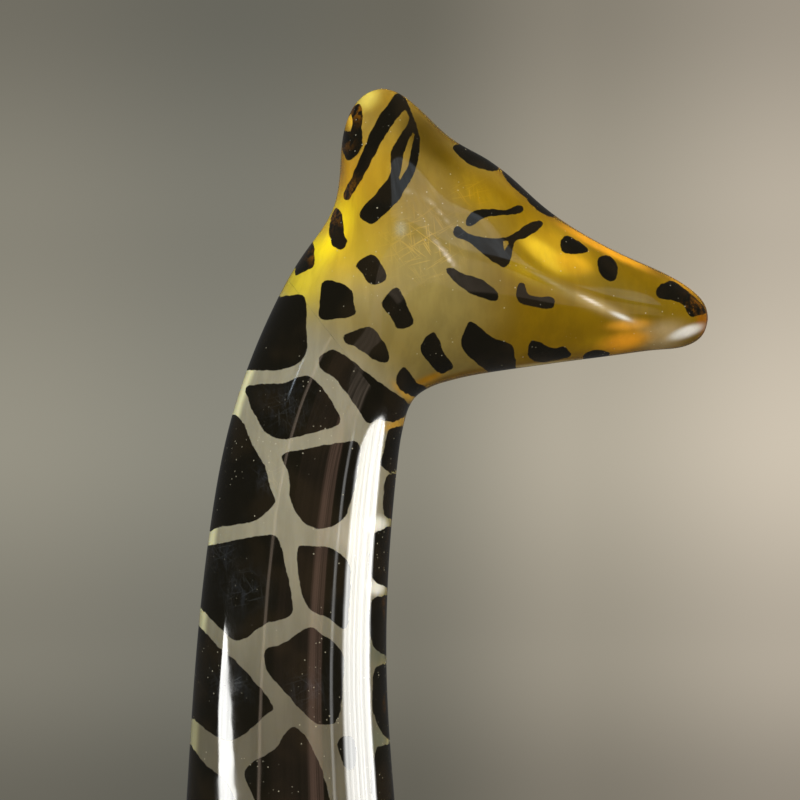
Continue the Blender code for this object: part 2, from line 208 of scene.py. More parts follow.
class Trunk:
    """The loft from rump to nose. Its variable t is the mean distance along the dorsal and ventral lines."""

    def __init__(self):
        rows = np.array(SPINE)
        dorsal = np.linalg.norm(np.diff(rows[:, 0:2], axis=0), axis=1)
        ventral = np.linalg.norm(np.diff(rows[:, 2:4], axis=0), axis=1)
        self.knots = np.concatenate(([0.0], np.cumsum((dorsal + ventral) / 2)))
        self.curve = natural_spline(self.knots, rows)

    def at_station(self, station):
        return float(np.interp(station, range(len(self.knots)), self.knots))

    def sections(self, t):
        """Centres, unit vectors towards the back, half heights and half widths at each t."""
        rows = self.curve(t)
        flat = np.zeros(len(rows))
        dorsal = np.stack((rows[:, 0], flat, rows[:, 1]), axis=1)
        ventral = np.stack((rows[:, 2], flat, rows[:, 3]), axis=1)
        half = (dorsal - ventral) / 2
        return (dorsal + ventral) / 2, unit(half), np.linalg.norm(half, axis=1), np.maximum(rows[:, 4], 0.0)

    def axis(self, t):
        _, up, _, _ = self.sections(t)
        return np.cross((0.0, 1.0, 0.0), up)

    def rings(self, t, sides):
        """Rings of points at each t, with the groove between the horns over the crown."""
        centre, up, half_height, half_width = self.sections(t)
        angle = turns(sides)
        side = half_width[:, None] * np.sin(angle)
        rise = half_height[:, None] * np.cos(angle)
        top_z = centre[:, 2] + up[:, 2] * half_height
        depth = GROOVE_DEPTH * smoothstep(GROOVE_FROM_Z, GROOVE_FULL_Z, top_z)
        groove = depth[:, None] * np.maximum(np.cos(angle), 0) * np.exp(-((side / GROOVE_HALF_WIDTH) ** 2))
        rise = rise - groove
        stretch = half_height / np.maximum(rise.max(axis=1), 1e-6)
        rise = np.where(rise > 0, rise * stretch[:, None], rise)
        points = centre[:, None, :] + up[:, None, :] * rise[..., None]
        points[..., 1] += side
        return points


TRUNK = Trunk()


# ---------------------------------------------------------------- meshes


def mesh_from_rings(name, rings, caps=(None, None)):
    """A closed skin over rings of points. caps gives each end's middle point, or None for the ring's mean."""
    count, sides, _ = rings.shape
    ends = [ring.mean(axis=0) if cap is None else cap for ring, cap in zip((rings[0], rings[-1]), caps)]
    points = np.concatenate((rings.reshape(-1, 3), ends)) * MM
    around = np.arange(sides)
    after = (around + 1) % sides
    rows = np.arange(count - 1)[:, None] * sides
    quads = np.stack(
        (rows + around, rows + after, rows + sides + after, rows + sides + around), axis=-1
    ).reshape(-1, 4)
    first, last = count * sides, count * sides + 1
    base = (count - 1) * sides
    faces = quads.tolist()
    faces += [(first, int(b), int(a)) for a, b in zip(around, after)]
    faces += [(last, base + int(a), base + int(b)) for a, b in zip(around, after)]
    data = bpy.data.meshes.new(name)
    data.from_pydata(points.tolist(), [], faces)
    return settle(data)


def settle(data, sharp_degrees=50):
    """Faces turned outwards, smooth shading, and edges sharper than the angle kept crisp."""
    mesh = bmesh.new()
    mesh.from_mesh(data)
    bmesh.ops.recalc_face_normals(mesh, faces=mesh.faces)
    mesh.to_mesh(data)
    mesh.free()
    data.shade_smooth()
    data.set_sharp_from_angle(angle=math.radians(sharp_degrees))
    return data


def add_object(name, data):
    obj = bpy.data.objects.new(name, data)
    bpy.context.scene.collection.objects.link(obj)
    return obj


def paint_with(data, material):
    data.materials.clear()
    data.materials.append(material)


def piece(name, data, node, material):
    """Adds a finished mesh to the statue in place of a CAD node."""
    obj = add_object(name, data)
    paint_with(data, material)
    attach(obj, "root")
    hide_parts(node)


def trunk_mesh(name, first, last, ring_step, sides):
    """The trunk between two stations, with its open ends set back from the seam."""
    start, end = TRUNK.at_station(first), TRUNK.at_station(last)
    t = np.linspace(start, end, round((end - start) / ring_step) + 1)
    caps = [None, None]
    rings = TRUNK.rings(t, sides)
    if first == 0:
        caps[0], rings = rings[0].mean(axis=0), rings[1:]
    else:
        rings[0] += TRUNK.axis(start)[0] * SEAM_GAP / 2
    if last == len(SPINE) - 1:
        caps[1], rings = rings[-1].mean(axis=0), rings[:-1]
    else:
        rings[-1] -= TRUNK.axis(end)[0] * SEAM_GAP / 2
    return mesh_from_rings(name, rings, caps)


def leg_curve(rows):
    """A leg's centre and half sizes as a smooth curve of the height."""
    rows = np.array(rows)[::-1]
    return natural_spline(rows[:, 0], rows[:, 1:])


def leg_mesh(name, rows, side, top, bottom, ring_step=1.2, sides=72):
    """A leg or a leg stub between two heights, with the cleft in the front of its hoof."""
    z = np.linspace(bottom, top, round((top - bottom) / ring_step) + 1)
    x, y, half_length, half_width = leg_curve(rows)(z).T
    angle = turns(sides)
    rings = np.empty((len(z), sides, 3))
    rings[..., 0] = x[:, None] + half_length[:, None] * np.cos(angle)
    rings[..., 1] = side * y[:, None] + half_width[:, None] * np.sin(angle)
    rings[..., 2] = z[:, None]
    from_front = np.minimum(angle, 2 * math.pi - angle)
    depth = CLEFT_DEPTH * smoothstep(HOOF_TOP_Z - 2, HOOF_TOP_Z - 10, z)
    rings[..., 0] -= depth[:, None] * np.exp(-((from_front / CLEFT_HALF_ANGLE) ** 2))
    return mesh_from_rings(name, rings)


# ---------------------------------------------------------------- markings

# Outlines and spots are given as seen from the side, by a viewer this far off and level with this x, z.
SIDE_VIEW_DISTANCE = 573.0
SIDE_VIEW_MIDDLE = (53.5, 463.1)
# Markings of the head and upper neck: x, z of each point that a closed smooth curve passes through.
PAINT = {
    "nape_spot": (
        (44.5, 527), (45.5, 524.5), (45.2, 521.5), (45.5, 518), (43.8, 515.3), (42, 514.7), (41, 518),
        (42, 523.8),
    ),
    "ear_stripe": (
        (53.1, 529.1), (55.2, 526.6), (53.5, 524.6), (49.8, 519), (46.6, 513), (43, 506.8), (41.7, 506.1),
        (41.5, 507.5), (44.5, 514), (47.3, 521), (50.3, 526),
    ),
    "ear_fold": (
        (54.6, 527.6), (57, 522.5), (57.8, 518), (56.8, 512.6), (53.2, 506.1), (48.4, 501.5), (46.5, 501.2),
        (44.7, 503.4), (48.3, 507.4), (51.4, 511.8), (51.7, 517), (55.2, 522.8), (54.9, 525.5),
    ),
    "nape_low": (
        (39.6, 504.3), (41, 503), (41.5, 499.3), (42.2, 497.1), (41, 495.4), (38.9, 496.5), (38.3, 500.5),
    ),
    "nape_rim": ((31, 490), (31.5, 494), (34.3, 497.2), (35.2, 495), (34.8, 492), (33, 490.8)),
    "cheek_a": (
        (44, 492.2), (46.6, 494.2), (48.6, 493.6), (50.6, 490), (49.4, 488.2), (47.3, 488), (45.3, 490.3),
    ),
    "cheek_b": (
        (37.3, 488.7), (42.8, 487.2), (43.6, 484), (43.8, 481.5), (38.5, 480.3), (36.2, 481), (36.3, 485),
    ),
    "cheek_c": (
        (52, 487), (53.5, 486.8), (55.3, 482.8), (56.4, 480), (55.5, 478.9), (52.7, 478.6), (51.7, 480.8),
        (49.4, 483.7), (50.5, 485.5),
    ),
    "cheek_d": (
        (41.2, 476.8), (43.5, 478), (47, 478.9), (49, 477), (51, 473.5), (50.8, 471.3), (48.5, 471.6),
        (44, 474.5), (41.8, 475.3),
    ),
    "cheek_e": (
        (60, 477.4), (61.3, 477.3), (63, 473.3), (65, 470.5), (64, 469.3), (62, 469), (59.5, 471.3),
        (58.1, 473.2), (58.2, 475.5),
    ),
    "cheek_f": (
        (53.8, 470), (55.2, 469.6), (57, 467), (59.3, 465.6), (58, 464), (55.8, 464), (52.5, 466.7),
    ),
    "jaw_a": (
        (68.2, 480), (69.6, 479.6), (73, 476.8), (77.3, 475), (78.2, 473), (78, 468.5), (72.5, 469.3),
        (68.5, 472.3), (66.6, 475), (67.2, 477.5),
    ),
    "jaw_b": (
        (81.5, 475.5), (83, 475.7), (86.5, 474.3), (88.6, 474.5), (90.2, 473), (88, 471.8), (83, 471.3),
        (81, 473),
    ),
    "jaw_c": ((93, 473), (96, 473.8), (98.5, 473), (97, 470.5), (93.5, 470.5)),
    "mouth_a": (
        (63.4, 491), (64.8, 491.6), (67.5, 490.1), (70.3, 489.4), (74, 486.8), (74.7, 485.2), (73.6, 484.3),
        (68.5, 486.1), (65.6, 488.3),
    ),
    "mouth_b": (
        (78.8, 487.9), (80.2, 488.1), (81.3, 485.7), (86, 485.2), (86.8, 484), (85.8, 482.7), (80.1, 483.6),
        (78.5, 485),
    ),
    "eye": (
        (64.9, 499.6), (66, 500.7), (68.2, 498.9), (72, 498), (75, 497.9), (78, 498.9), (81.4, 501.2),
        (83.6, 501.8), (84.1, 500.6), (81, 498.2), (78.2, 497), (77.5, 493.7), (76.2, 491.8), (74.5, 492.2),
        (71.7, 494.2), (68, 497.2), (65.4, 498.3),
    ),
    "brow": (
        (67.5, 501.4), (69, 503.5), (72, 504.1), (76, 504), (78.8, 505), (80, 504.5), (79, 503.2),
        (72.2, 502.4), (68.6, 500.4),
    ),
    "forehead": ((64.9, 517.2), (66.5, 518.1), (70.6, 516.6), (74.8, 513), (72.5, 512.5), (67.7, 514.2)),
    "ridge_a": ((75.5, 512.5), (78.5, 513.5), (82.5, 509.5), (81, 506.8), (79.5, 507.3), (76.5, 510.2)),
    "ridge_b": ((80.6, 507.6), (83.5, 509.5), (88.5, 505.5), (87, 502.6), (84, 503.2), (81.3, 505.5)),
    "nose_a": ((88.3, 497.8), (90, 498.3), (93.6, 495.9), (93.1, 494.7), (88.8, 494.7), (88, 496)),
    "nose_b": (
        (96.2, 493.8), (98.1, 494.2), (100.3, 492.2), (100.1, 489.5), (98.8, 488.6), (96.9, 489.8),
        (95.9, 492.4),
    ),
    "nose_c": (
        (108.7, 487), (110.5, 488.4), (113, 488.3), (116.8, 485.3), (119.2, 482.3), (117.8, 481.2),
        (115.7, 481.3), (113.7, 484.1), (109.4, 485),
    ),
    "neck_bridge": (
        (36, 472), (38.5, 473.8), (41.2, 473), (47, 468.5), (53.5, 463.8), (55.6, 462), (55, 460.3),
        (52.3, 458.4), (49, 459), (46.5, 458.2), (43, 463.2), (39.3, 467.8), (36.7, 469.7),
    ),
    "rim_1": (
        (28.3, 485.4), (32.8, 485.4), (33.4, 480), (33.3, 473), (29.5, 470.1), (23, 469.5), (15, 471.5),
        (20, 484),
    ),
    "mid_2": (
        (20.2, 465.2), (23.5, 466.5), (28, 466.6), (33, 468.4), (36, 466.6), (39, 462.3), (40.7, 458.8),
        (39, 457.2), (32, 455.4), (27.5, 454.8), (24, 457),
    ),
    "rim_3": (
        (10, 460), (17.5, 460), (19.8, 458.2), (22, 453), (24.4, 449), (25.2, 445.5), (26.6, 441.8),
        (25.3, 439.4), (22, 437), (16, 436), (8, 434.8), (8, 448),
    ),
    "mid_4": (
        (28.1, 451.2), (33, 452.6), (41, 453.9), (44.7, 453.6), (44.4, 448), (43, 441.5), (41, 437),
        (36.3, 435.4), (32.5, 437), (30, 441.5), (29.6, 447),
    ),
    "rim_5": (
        (6, 430.3), (15, 432.3), (24, 434), (27.3, 433.3), (29, 427), (30.4, 419.5), (29.4, 416.5),
        (24.5, 414.9), (20, 411.8), (17, 412.1), (10, 419), (5, 424),
    ),
    "mid_6": (
        (31.4, 431), (33.5, 431.7), (38, 431.5), (41.3, 429.5), (42.9, 426.5), (42.5, 419), (41.8, 413.7),
        (38.5, 416), (33.8, 418.4), (32, 423.5),
    ),
    "rim_7": (
        (3, 417), (8.8, 415.8), (14, 410.5), (18.7, 406.5), (24, 400.5), (26.2, 397), (24.8, 395.5),
        (19, 390.5), (14.5, 390.5), (8.5, 395), (3, 400),
    ),
    "mid_8": (
        (24.6, 409.2), (28.5, 410.8), (33.8, 414.2), (37, 412.6), (41.2, 408.6), (41.1, 400.5), (40, 394.3),
        (36.5, 393.3), (33.3, 395.3), (29.5, 399.5), (25, 404.8),
    ),
    "mid_9": (
        (20.2, 383.5), (26.5, 388), (29.6, 392.4), (32.2, 392), (35.2, 387.3), (37.5, 381), (38.6, 374),
        (36, 366.5), (30, 364.5), (25, 368), (22.6, 376),
    ),
    "rim_10": (
        (3, 392), (7, 390.7), (11.8, 384.6), (14.6, 382.4), (17.2, 379), (18.4, 374.5), (18, 367),
        (11, 363.5), (3, 366),
    ),
    "mid_11": ((40, 389), (41.5, 391), (43.5, 390), (44, 385), (42, 383.6)),
    "throat_1": ((51.2, 456.8), (56, 456.8), (55, 450), (51.5, 447.6), (49.3, 449.4), (50.2, 453)),
    "throat_2": ((50.8, 447), (55, 446), (55, 437.5), (50.3, 438.2), (50, 443)),
    "front_3": ((47.2, 431.5), (48.6, 434.8), (55, 435.6), (55, 422.5), (50, 423), (47, 426)),
    "front_4": ((47.2, 419.5), (50, 421), (55, 421), (55, 408), (49.5, 408.6), (47, 412.5)),
    "front_5": ((48, 405), (51, 406.3), (55, 406), (55, 390), (50, 391), (47.6, 397)),
    "front_6": ((48.2, 387.5), (50, 388.8), (56, 389), (56, 374), (50, 373), (47.2, 380)),
}
# Bare places inside the markings.
BARE = {
    "ear_leaf": ((56.5, 520.8), (54.6, 517), (53.9, 513.4), (53.2, 510.2), (55, 513), (56, 517)),
    "eye_glint": ((75.5, 497.2), (76.8, 497), (76, 495.2)),
    "nape_glow": ((42.6, 524.4), (43.4, 523.2), (42.8, 520.8), (41.4, 521.5)),
}
# On the far side of the neck the markings sit this much lower, and under the belly the patches shrink.
FAR_SIDE_SHIFT = 6.0
BELLY_BARENESS = 6.0
# The patches of the lower neck, body and legs: gap between them, corner rounding, the least depth of one
# that is kept, the length and height of the waves in their outlines, and the height they stay below. Then
# their spacing on the trunk and what the barrel adds to it, and where the rows of them begin and end.
GAP = 4.6
CORNER = 1.2
SMALLEST_PATCH = 1.6
WAVE_LENGTH = 17.0
WAVE_HEIGHT = 1.3
CELLS_BELOW_Z = 384.0
TRUNK_PATCH = 19.0
BARREL_GROWTH = 7.0
RUMP_CLEAR = 12.0
LAST_ROW_STATION = 14.6
LEG_ROWS_Z = (176.0, 46.0)
# Farther than any distance that matters, in millimetres.
FAR = 60.0


def smooth_loop(points, steps=6):
    """Points along a closed Catmull-Rom curve through the control points."""
    points = np.array(points, float)
    before, after, beyond = np.roll(points, 1, 0), np.roll(points, -1, 0), np.roll(points, -2, 0)
    t = np.linspace(0, 1, steps, endpoint=False)[None, :, None]
    p0, p1, p2, p3 = (row[:, None, :] for row in (before, points, after, beyond))
    curve = p1 + 0.5 * t * (p2 - p0 + t * (2 * p0 - 5 * p1 + 4 * p2 - p3 + t * (3 * (p1 - p2) + p3 - p0)))
    return curve.reshape(-1, 2)


def outline_distance(places, outline):
    """Signed distance from each place to a closed outline, negative inside. Distant places are skipped."""
    loop = smooth_loop(outline)
    reach = FAR / 6
    result = np.full(len(places), FAR)
    near = ((places > loop.min(axis=0) - reach) & (places < loop.max(axis=0) + reach)).all(axis=1)
    close = places[near]
    best = np.full(len(close), np.inf)
    inside = np.zeros(len(close), bool)
    for a, b in zip(loop, np.roll(loop, -1, 0)):
        along = b - a
        offset = close - a
        t = np.clip(offset @ along / (along @ along), 0, 1)
        best = np.minimum(best, ((offset - t[:, None] * along) ** 2).sum(axis=1))
        crosses = (a[1] > close[:, 1]) != (b[1] > close[:, 1])
        if along[1] != 0:
            inside ^= crosses & (close[:, 0] < a[0] + along[0] * (close[:, 1] - a[1]) / along[1])
    result[near] = np.sqrt(best) * np.where(inside, -1, 1)
    return result


def seen_from_side(points):
    """x, z of each point where the line of sight from its own side meets the middle plane."""
    spread = SIDE_VIEW_DISTANCE / (SIDE_VIEW_DISTANCE - np.abs(points[:, 1]))
    middle = np.array(SIDE_VIEW_MIDDLE)
    return middle + (points[:, [0, 2]] - middle) * spread[:, None]


def painted_distance(points):
    """Signed distance to the outlined markings of the head and upper neck."""
    places = seen_from_side(points)
    places[:, 1] += FAR_SIDE_SHIFT * smoothstep(0, 12, points[:, 1]) * smoothstep(480, 455, points[:, 2])
    distance = np.full(len(points), FAR)
    for outline in PAINT.values():
        distance = np.minimum(distance, outline_distance(places, outline))
    for outline in BARE.values():
        distance = np.maximum(distance, -outline_distance(places, outline))
    return distance


def trunk_seeds(random):
    """Middles of the patches on the lower neck and body, in rows round the trunk."""
    seeds = []
    t, row = TRUNK.at_station(0) + RUMP_CLEAR, 0
    end = TRUNK.at_station(LAST_ROW_STATION)
    while t < end:
        _, _, half_height, half_width = TRUNK.sections(t)
        round_length = math.pi * (half_height[0] + half_width[0])
        spacing = TRUNK_PATCH + BARREL_GROWTH * smoothstep(60, 30, abs(half_height[0] - 60))
        count = max(4, round(round_length / spacing))
        turn = (row % 2) / 2
        for k in range(count):
            at = (k + turn + random.uniform(-0.17, 0.17)) / count
            shift = random.uniform(-4.0, 4.0)
            seeds.append(TRUNK.rings(np.array([min(t + shift, end)]), 720)[0][int(at * 720) % 720])
        t += spacing * 0.95
        row += 1
    return np.array(seeds)


def leg_seeds(rows, side, random):
    """Middles of the patches down one leg, smaller and closer towards the foot."""
    seeds = []
    (z, lowest), row = LEG_ROWS_Z, 0
    curve = leg_curve(rows)
    while z > lowest:
        x, y, half_length, half_width = curve(z)[0]
        count = 4 if z > 120 else 3
        for k in range(count):
            angle = 2 * math.pi * (k + row % 2 / 2 + random.uniform(-0.15, 0.15)) / count
            height = z + random.uniform(-2.5, 2.5)
            seeds.append((x + half_length * math.cos(angle), side * y + half_width * math.sin(angle), height))
        z -= 9.0 + 11.0 * smoothstep(50, 170, z)
        row += 1
    return np.array(seeds)


def wobble(points, scale, seed):
    """A smooth pseudo-random wave between -1 and 1, of that wavelength."""
    x, y, z = (points * (2 * math.pi / scale)).T
    return (
        np.sin(x + 1.7 * np.sin(0.8 * y + seed) + seed)
        + np.sin(1.1 * y + 1.3 * np.sin(0.9 * z + 2 * seed))
        + np.sin(0.9 * z + 1.5 * np.sin(1.2 * x - seed) + 3 * seed)
    ) / 3


class Patches:
    """Rounded patches with wobbling outlines, one round each seed. Small ones are left bare."""

    def __init__(self, seeds):
        self.seeds = seeds
        self.bare = np.zeros(len(seeds), bool)
        self.bare = self.distance(seeds) > -SMALLEST_PATCH

    def depth(self, points):
        """How deep each point lies in its own seed's cell."""
        square = ((points[:, None, :] - self.seeds) ** 2).sum(axis=2)
        order = np.argpartition(square, 7, axis=1)[:, :8]
        near = np.take_along_axis(square, order, axis=1)
        first = near.argmin(axis=1)
        rows = np.arange(len(points))
        own = order[rows, first]
        span = np.linalg.norm(self.seeds[order] - self.seeds[own][:, None, :], axis=2)
        walls = (near - near[rows, first][:, None]) / (2 * np.maximum(span, 1e-6))
        walls[rows, first] = FAR
        deep = -CORNER * np.log(np.exp(-walls / CORNER).sum(axis=1))
        return np.where(self.bare[own], 0.0, deep)

    def distance(self, points):
        """Signed distance to the patches, which shrink down the legs."""
        z = points[:, 2]
        waves = np.stack([wobble(points, WAVE_LENGTH, seed) for seed in (0.3, 1.9, 4.1)], axis=1)
        shifted = points + WAVE_HEIGHT * waves
        gap = GAP + 1.0 * smoothstep(300, 230, z) + 5.0 * smoothstep(115, 55, z)
        chunks = np.array_split(shifted, len(points) // 20000 + 1)
        return gap / 2 - np.concatenate([self.depth(chunk) for chunk in chunks])


def trunk_marks(points, normals, patches):
    """Outlined markings above, and patches that keep clear of them below and leave the belly bare."""
    z = points[:, 2]
    painted = painted_distance(points)
    cells = np.maximum(patches.distance(points), GAP - painted)
    cells = np.maximum(cells, z - CELLS_BELOW_Z)
    belly = smoothstep(-0.55, -0.9, normals[:, 2]) * smoothstep(LEG_SEAM_Z + 2, LEG_SEAM_Z + 14, z)
    return np.minimum(painted, cells + BELLY_BARENESS * belly)


def leg_marks(points, patches):
    """Patches down a leg, and a dark hoof."""
    hoof = points[:, 2] - HOOF_TOP_Z - 0.8 * wobble(points, 9, 2.0)
    return np.minimum(patches.distance(points), hoof)


# ---------------------------------------------------------------- resin colour


def linear(red, green, blue):
    """Linear light from 0-255 display values."""
    value = np.array((red, green, blue)) / 255
    return np.where(value <= 0.04045, value / 12.92, ((value + 0.055) / 1.055) ** 2.4)


# The soft lights make a surface this many times as bright as its own colour, and gloss adds the veil.
LEVEL = 1.5
VEIL = 0.006


def pigment(red, green, blue):
    """The surface colour that shows as these 0-255 display values under the studio's light."""
    return np.clip((linear(red, green, blue) - VEIL) / LEVEL, 0.0008, 1.0)


CLEAR = pigment(156, 149, 126)
CLEAR_LOW = pigment(108, 101, 84)
# The grazing colours below are a painted rim glow of light refracted through the resin, pale cream on the
# neck and dark olive on the amber head.
CLEAR_EDGE = pigment(250, 243, 190)
CLEAR_EDGE_LOW = pigment(176, 169, 126)
CLEAR_FRONT = pigment(150, 140, 92)
GREY_GREEN = pigment(142, 124, 68)
OLIVE = pigment(130, 101, 14)
OLIVE_EDGE = pigment(120, 90, 14)
# Painted light in the resin: glows and shade of light refracted through it, with a few grey clouds of its own
# tone: x, z, half length, half height, tilt in degrees, hardness, colour.
PAINTED_LIGHT_AND_CLOUDS = (
    (60, 504, 10, 13, 10, 1, (148, 124, 62)),  # grey cloud in the cheek
    (57.0, 491, 9, 9, 0, 1, (166, 147, 84)),
    (44, 487.5, 8, 6, 0, 1, (160, 144, 102)),
    (42.0, 496.8, 8.4, 9, 0, 1, (224, 190, 56)),
    (48.5, 511, 8, 14, -25, 1, (188, 149, 40)),  # under the ear
    (56, 511, 4, 9, -12, 1, (140, 116, 50)),
    (50, 528, 8, 4, 0, 1, (166, 131, 44)),  # crown
    (46.4, 528, 2.8, 2.2, 35, 1.5, (236, 212, 98)),
    (43.4, 523.8, 1.8, 2.6, 0, 1.5, (250, 196, 60)),
    (59, 520.5, 4.5, 8, 40, 1, (100, 79, 26)),  # dark behind the forehead
    (63, 515.5, 2.6, 9, 50, 1, (88, 69, 14)),
    (71, 507, 8, 5, -38, 1, (160, 127, 26)),  # forehead
    (78, 505, 9, 1.8, -40, 1, (142, 110, 12)),
    (40.5, 506, 3.5, 10, -12, 1, (236, 172, 36)),  # nape
    (36.8, 498.4, 4.4, 9.5, -35, 1.5, (288, 256, 38)),
    (38.0, 500.6, 1.6, 4, -30, 1.5, (255, 214, 62)),
    (31.5, 489, 6, 6, -35, 1, (228, 202, 56)),
    (87.5, 494.6, 9.0, 4.2, -32, 1.5, (200, 158, 36)),  # in front of the eye
    (84.7, 494.4, 6.2, 2.0, -38, 2, (246, 204, 52)),
    (90.7, 492.2, 3.8, 2.0, -20, 2, (240, 184, 42)),
    (114, 488.6, 5, 1.4, -38, 1.5, (188, 136, 28)),
    (101, 486.0, 12, 2.6, -24, 1, (132, 108, 34)),  # side of the muzzle
    (89, 486.2, 6, 1.4, -26, 1, (146, 120, 46)),
    (81, 490.6, 5, 2.4, -30, 1, (178, 146, 34)),
    (86, 476.5, 14, 3.6, 5, 1, (132, 102, 10)),  # jaw
    (109.8, 476.9, 5, 2.8, 12, 1.5, (188, 164, 118)),  # painted pale highlight on the lip
    (118.8, 479.6, 1.6, 3.4, 10, 2, (158, 100, 22)),
    (99, 475.4, 9, 1.8, 8, 1, (168, 130, 24)),
    (85.5, 470.9, 9, 0.4, 6, 1.5, (200, 178, 118)),  # painted pale highlight line under the jaw
    (102, 475.8, 4.8, 1.9, 12, 1.5, (248, 170, 42)),
    (102.6, 479.2, 4.2, 1.2, 4, 1.5, (238, 168, 50)),  # glow over the lip
    (53.0, 457.8, 3.6, 1.3, 15, 1.5, (206, 160, 60)),  # painted amber glints at the throat
    (55.0, 464.4, 3.6, 1.1, -38, 1.5, (200, 156, 60)),
    (59.5, 467.6, 4.0, 0.8, 22, 1.5, (176, 126, 24)),
    (41.7, 434.5, 3.0, 5.0, 0, 1, (186, 176, 154)),  # beside the throat
    (48.8, 409.0, 2.4, 3.0, 0, 1.5, (112, 112, 92)),
    (48.6, 390.0, 2.4, 3.0, 0, 1.5, (112, 112, 92)),
)
# Painted glints, highlights that stay on the flanks and are gone where the surface turns to the front.
PAINTED_GLINTS = (
    (97.6, 495.9, 10.4, 1.2, -27, 2, (232, 163, 33)),  # bridge of the nose
    (97.1, 483.0, 7.5, 1.1, -26, 1, (190, 166, 112)),  # brushed glints in the muzzle
    (94.6, 484.4, 2.6, 0.32, -27, 1.5, (246, 232, 212)),
    (101.0, 481.1, 2.4, 0.45, -23, 1.5, (255, 250, 238)),
    (85.8, 488.6, 5.0, 0.3, -29, 1, (168, 150, 98)),
    (62.7, 495.4, 3.6, 0.35, -48, 1, (206, 190, 160)),  # curved glints in the cheek
    (64.0, 493.4, 1.8, 0.22, -52, 1, (236, 224, 206)),
    (57.6, 506.8, 4.0, 0.2, -25, 1, (180, 162, 122)),
    (62.5, 502.9, 4.0, 0.2, -50, 1, (180, 160, 116)),
    (53.7, 499.9, 1.2, 1.6, 0, 1, (172, 164, 130)),
    (115.0, 477.7, 3.7, 1.15, 20, 2, (255, 250, 240)),  # lip
    (48.5, 436.3, 2.2, 1.8, 12, 2, (255, 252, 236)),  # bright spots down the throat
    (48.4, 423.0, 1.9, 1.8, 8, 2, (255, 252, 236)),
)
# Amber lies above the line through these two places, x, z, x, z.
AMBER_LINE = (29.0, 486.0, 55.4, 462.0)
# How much of the grazing colour, the painted rim glow, the sides facing away from the flanks take on.
RIM_SHARE = 0.35


def soft_oval(x, z, centre_x, centre_z, half_length, half_height, tilt, hardness):
    """1 in the middle of a tilted oval, fading outwards."""
    turn = math.radians(tilt)
    dx, dz = x - centre_x, z - centre_z
    u = (dx * math.cos(turn) + dz * math.sin(turn)) / half_length
    v = (dz * math.cos(turn) - dx * math.sin(turn)) / half_height
    return np.exp(-((u**2 + v**2) ** hardness))


def resin_colours(points, normals):
    """Colour of the resin face on, and at a grazing angle where it turns to a painted rim glow, at each
    point, with the painted glows, shade and glints laid in.
    """
    x, z = seen_from_side(points).T
    x0, z0, x1, z1 = AMBER_LINE
    length = math.hypot(x1 - x0, z1 - z0)
    above = ((x - x0) * (z0 - z1) + (z - z0) * (x1 - x0)) / length
    amber = smoothstep(-8, 8, above)[:, None]
    low = smoothstep(445, 385, z)[:, None]
    front = smoothstep(64, 82, x)[:, None]
    clear = CLEAR + (CLEAR_LOW - CLEAR) * low
    olive = GREY_GREEN + (OLIVE - GREY_GREEN) * front
    core = clear + (olive - clear) * amber
    throat = smoothstep(0.1, 0.6, normals[:, 0])[:, None]
    clear_edge = CLEAR_EDGE + (CLEAR_EDGE_LOW - CLEAR_EDGE) * low
    edge = clear_edge + (CLEAR_FRONT - clear_edge) * throat
    edge = edge + (OLIVE_EDGE - edge) * smoothstep(-10, 6, above)[:, None]
    flank = smoothstep(0.10, 0.34, np.abs(normals[:, 1]))
    for glows, share in ((PAINTED_LIGHT_AND_CLOUDS, 1.0), (PAINTED_GLINTS, flank)):
        for *shape, shown in glows:
            colour = pigment(*shown)
            weight = (share * soft_oval(x, z, *shape))[:, None]
            core = core + (colour - core) * weight
            edge = edge + (colour - edge) * weight
    rim = (1 - np.abs(normals[:, 1]))[:, None] ** 2
    core = core + (edge - core) * rim * RIM_SHARE
    return core, edge


# Scuffed places, and places where the paint is sheer enough for a painted amber glow to show through: x, z,
# radius, strength.
SCUFFS = (
    (59.5, 497, 6.5, 1.0),
    (68.5, 507.5, 3.5, 0.6),
    (29, 462, 5, 0.3),
    (20, 422, 4, 0.4),
    (15, 430, 3, 0.4),
    (17, 402, 4, 0.4),
    (25, 447, 3, 0.4),
    (34, 401, 4, 0.3),
)
THIN_PAINT = (
    (44.5, 525.5, 2.2, 1.0),
    (42, 518, 1.5, 0.35),
    (42.4, 508, 2.4, 0.9),
    (39.5, 502.5, 2, 0.8),
    (35.5, 494, 1.6, 0.9),
    (117.5, 483.5, 2.5, 0.6),
)


def touched(points, places):
    """How strongly each point is touched by soft round places."""
    touch = np.zeros(len(points))
    seen = seen_from_side(points)
    for x, z, radius, strength in places:
        square = (seen[:, 0] - x) ** 2 + (seen[:, 1] - z) ** 2
        touch = np.maximum(touch, strength * np.exp(-square / radius**2))
    return touch


def throat_glow_line(points, normals):
    """A broken painted line of amber light, refracted in the resin, down each side of the throat, shown
    through the paint like a sheer place.
    """
    z = points[:, 2]
    line = np.exp(-(((np.abs(normals[:, 1]) - 0.3) / 0.05) ** 2)) * smoothstep(0.5, 0.8, normals[:, 0])
    broken = smoothstep(-0.4, 0.2, wobble(points, 19, 1.0))
    return line * broken * smoothstep(380, 400, z) * smoothstep(448, 440, z)


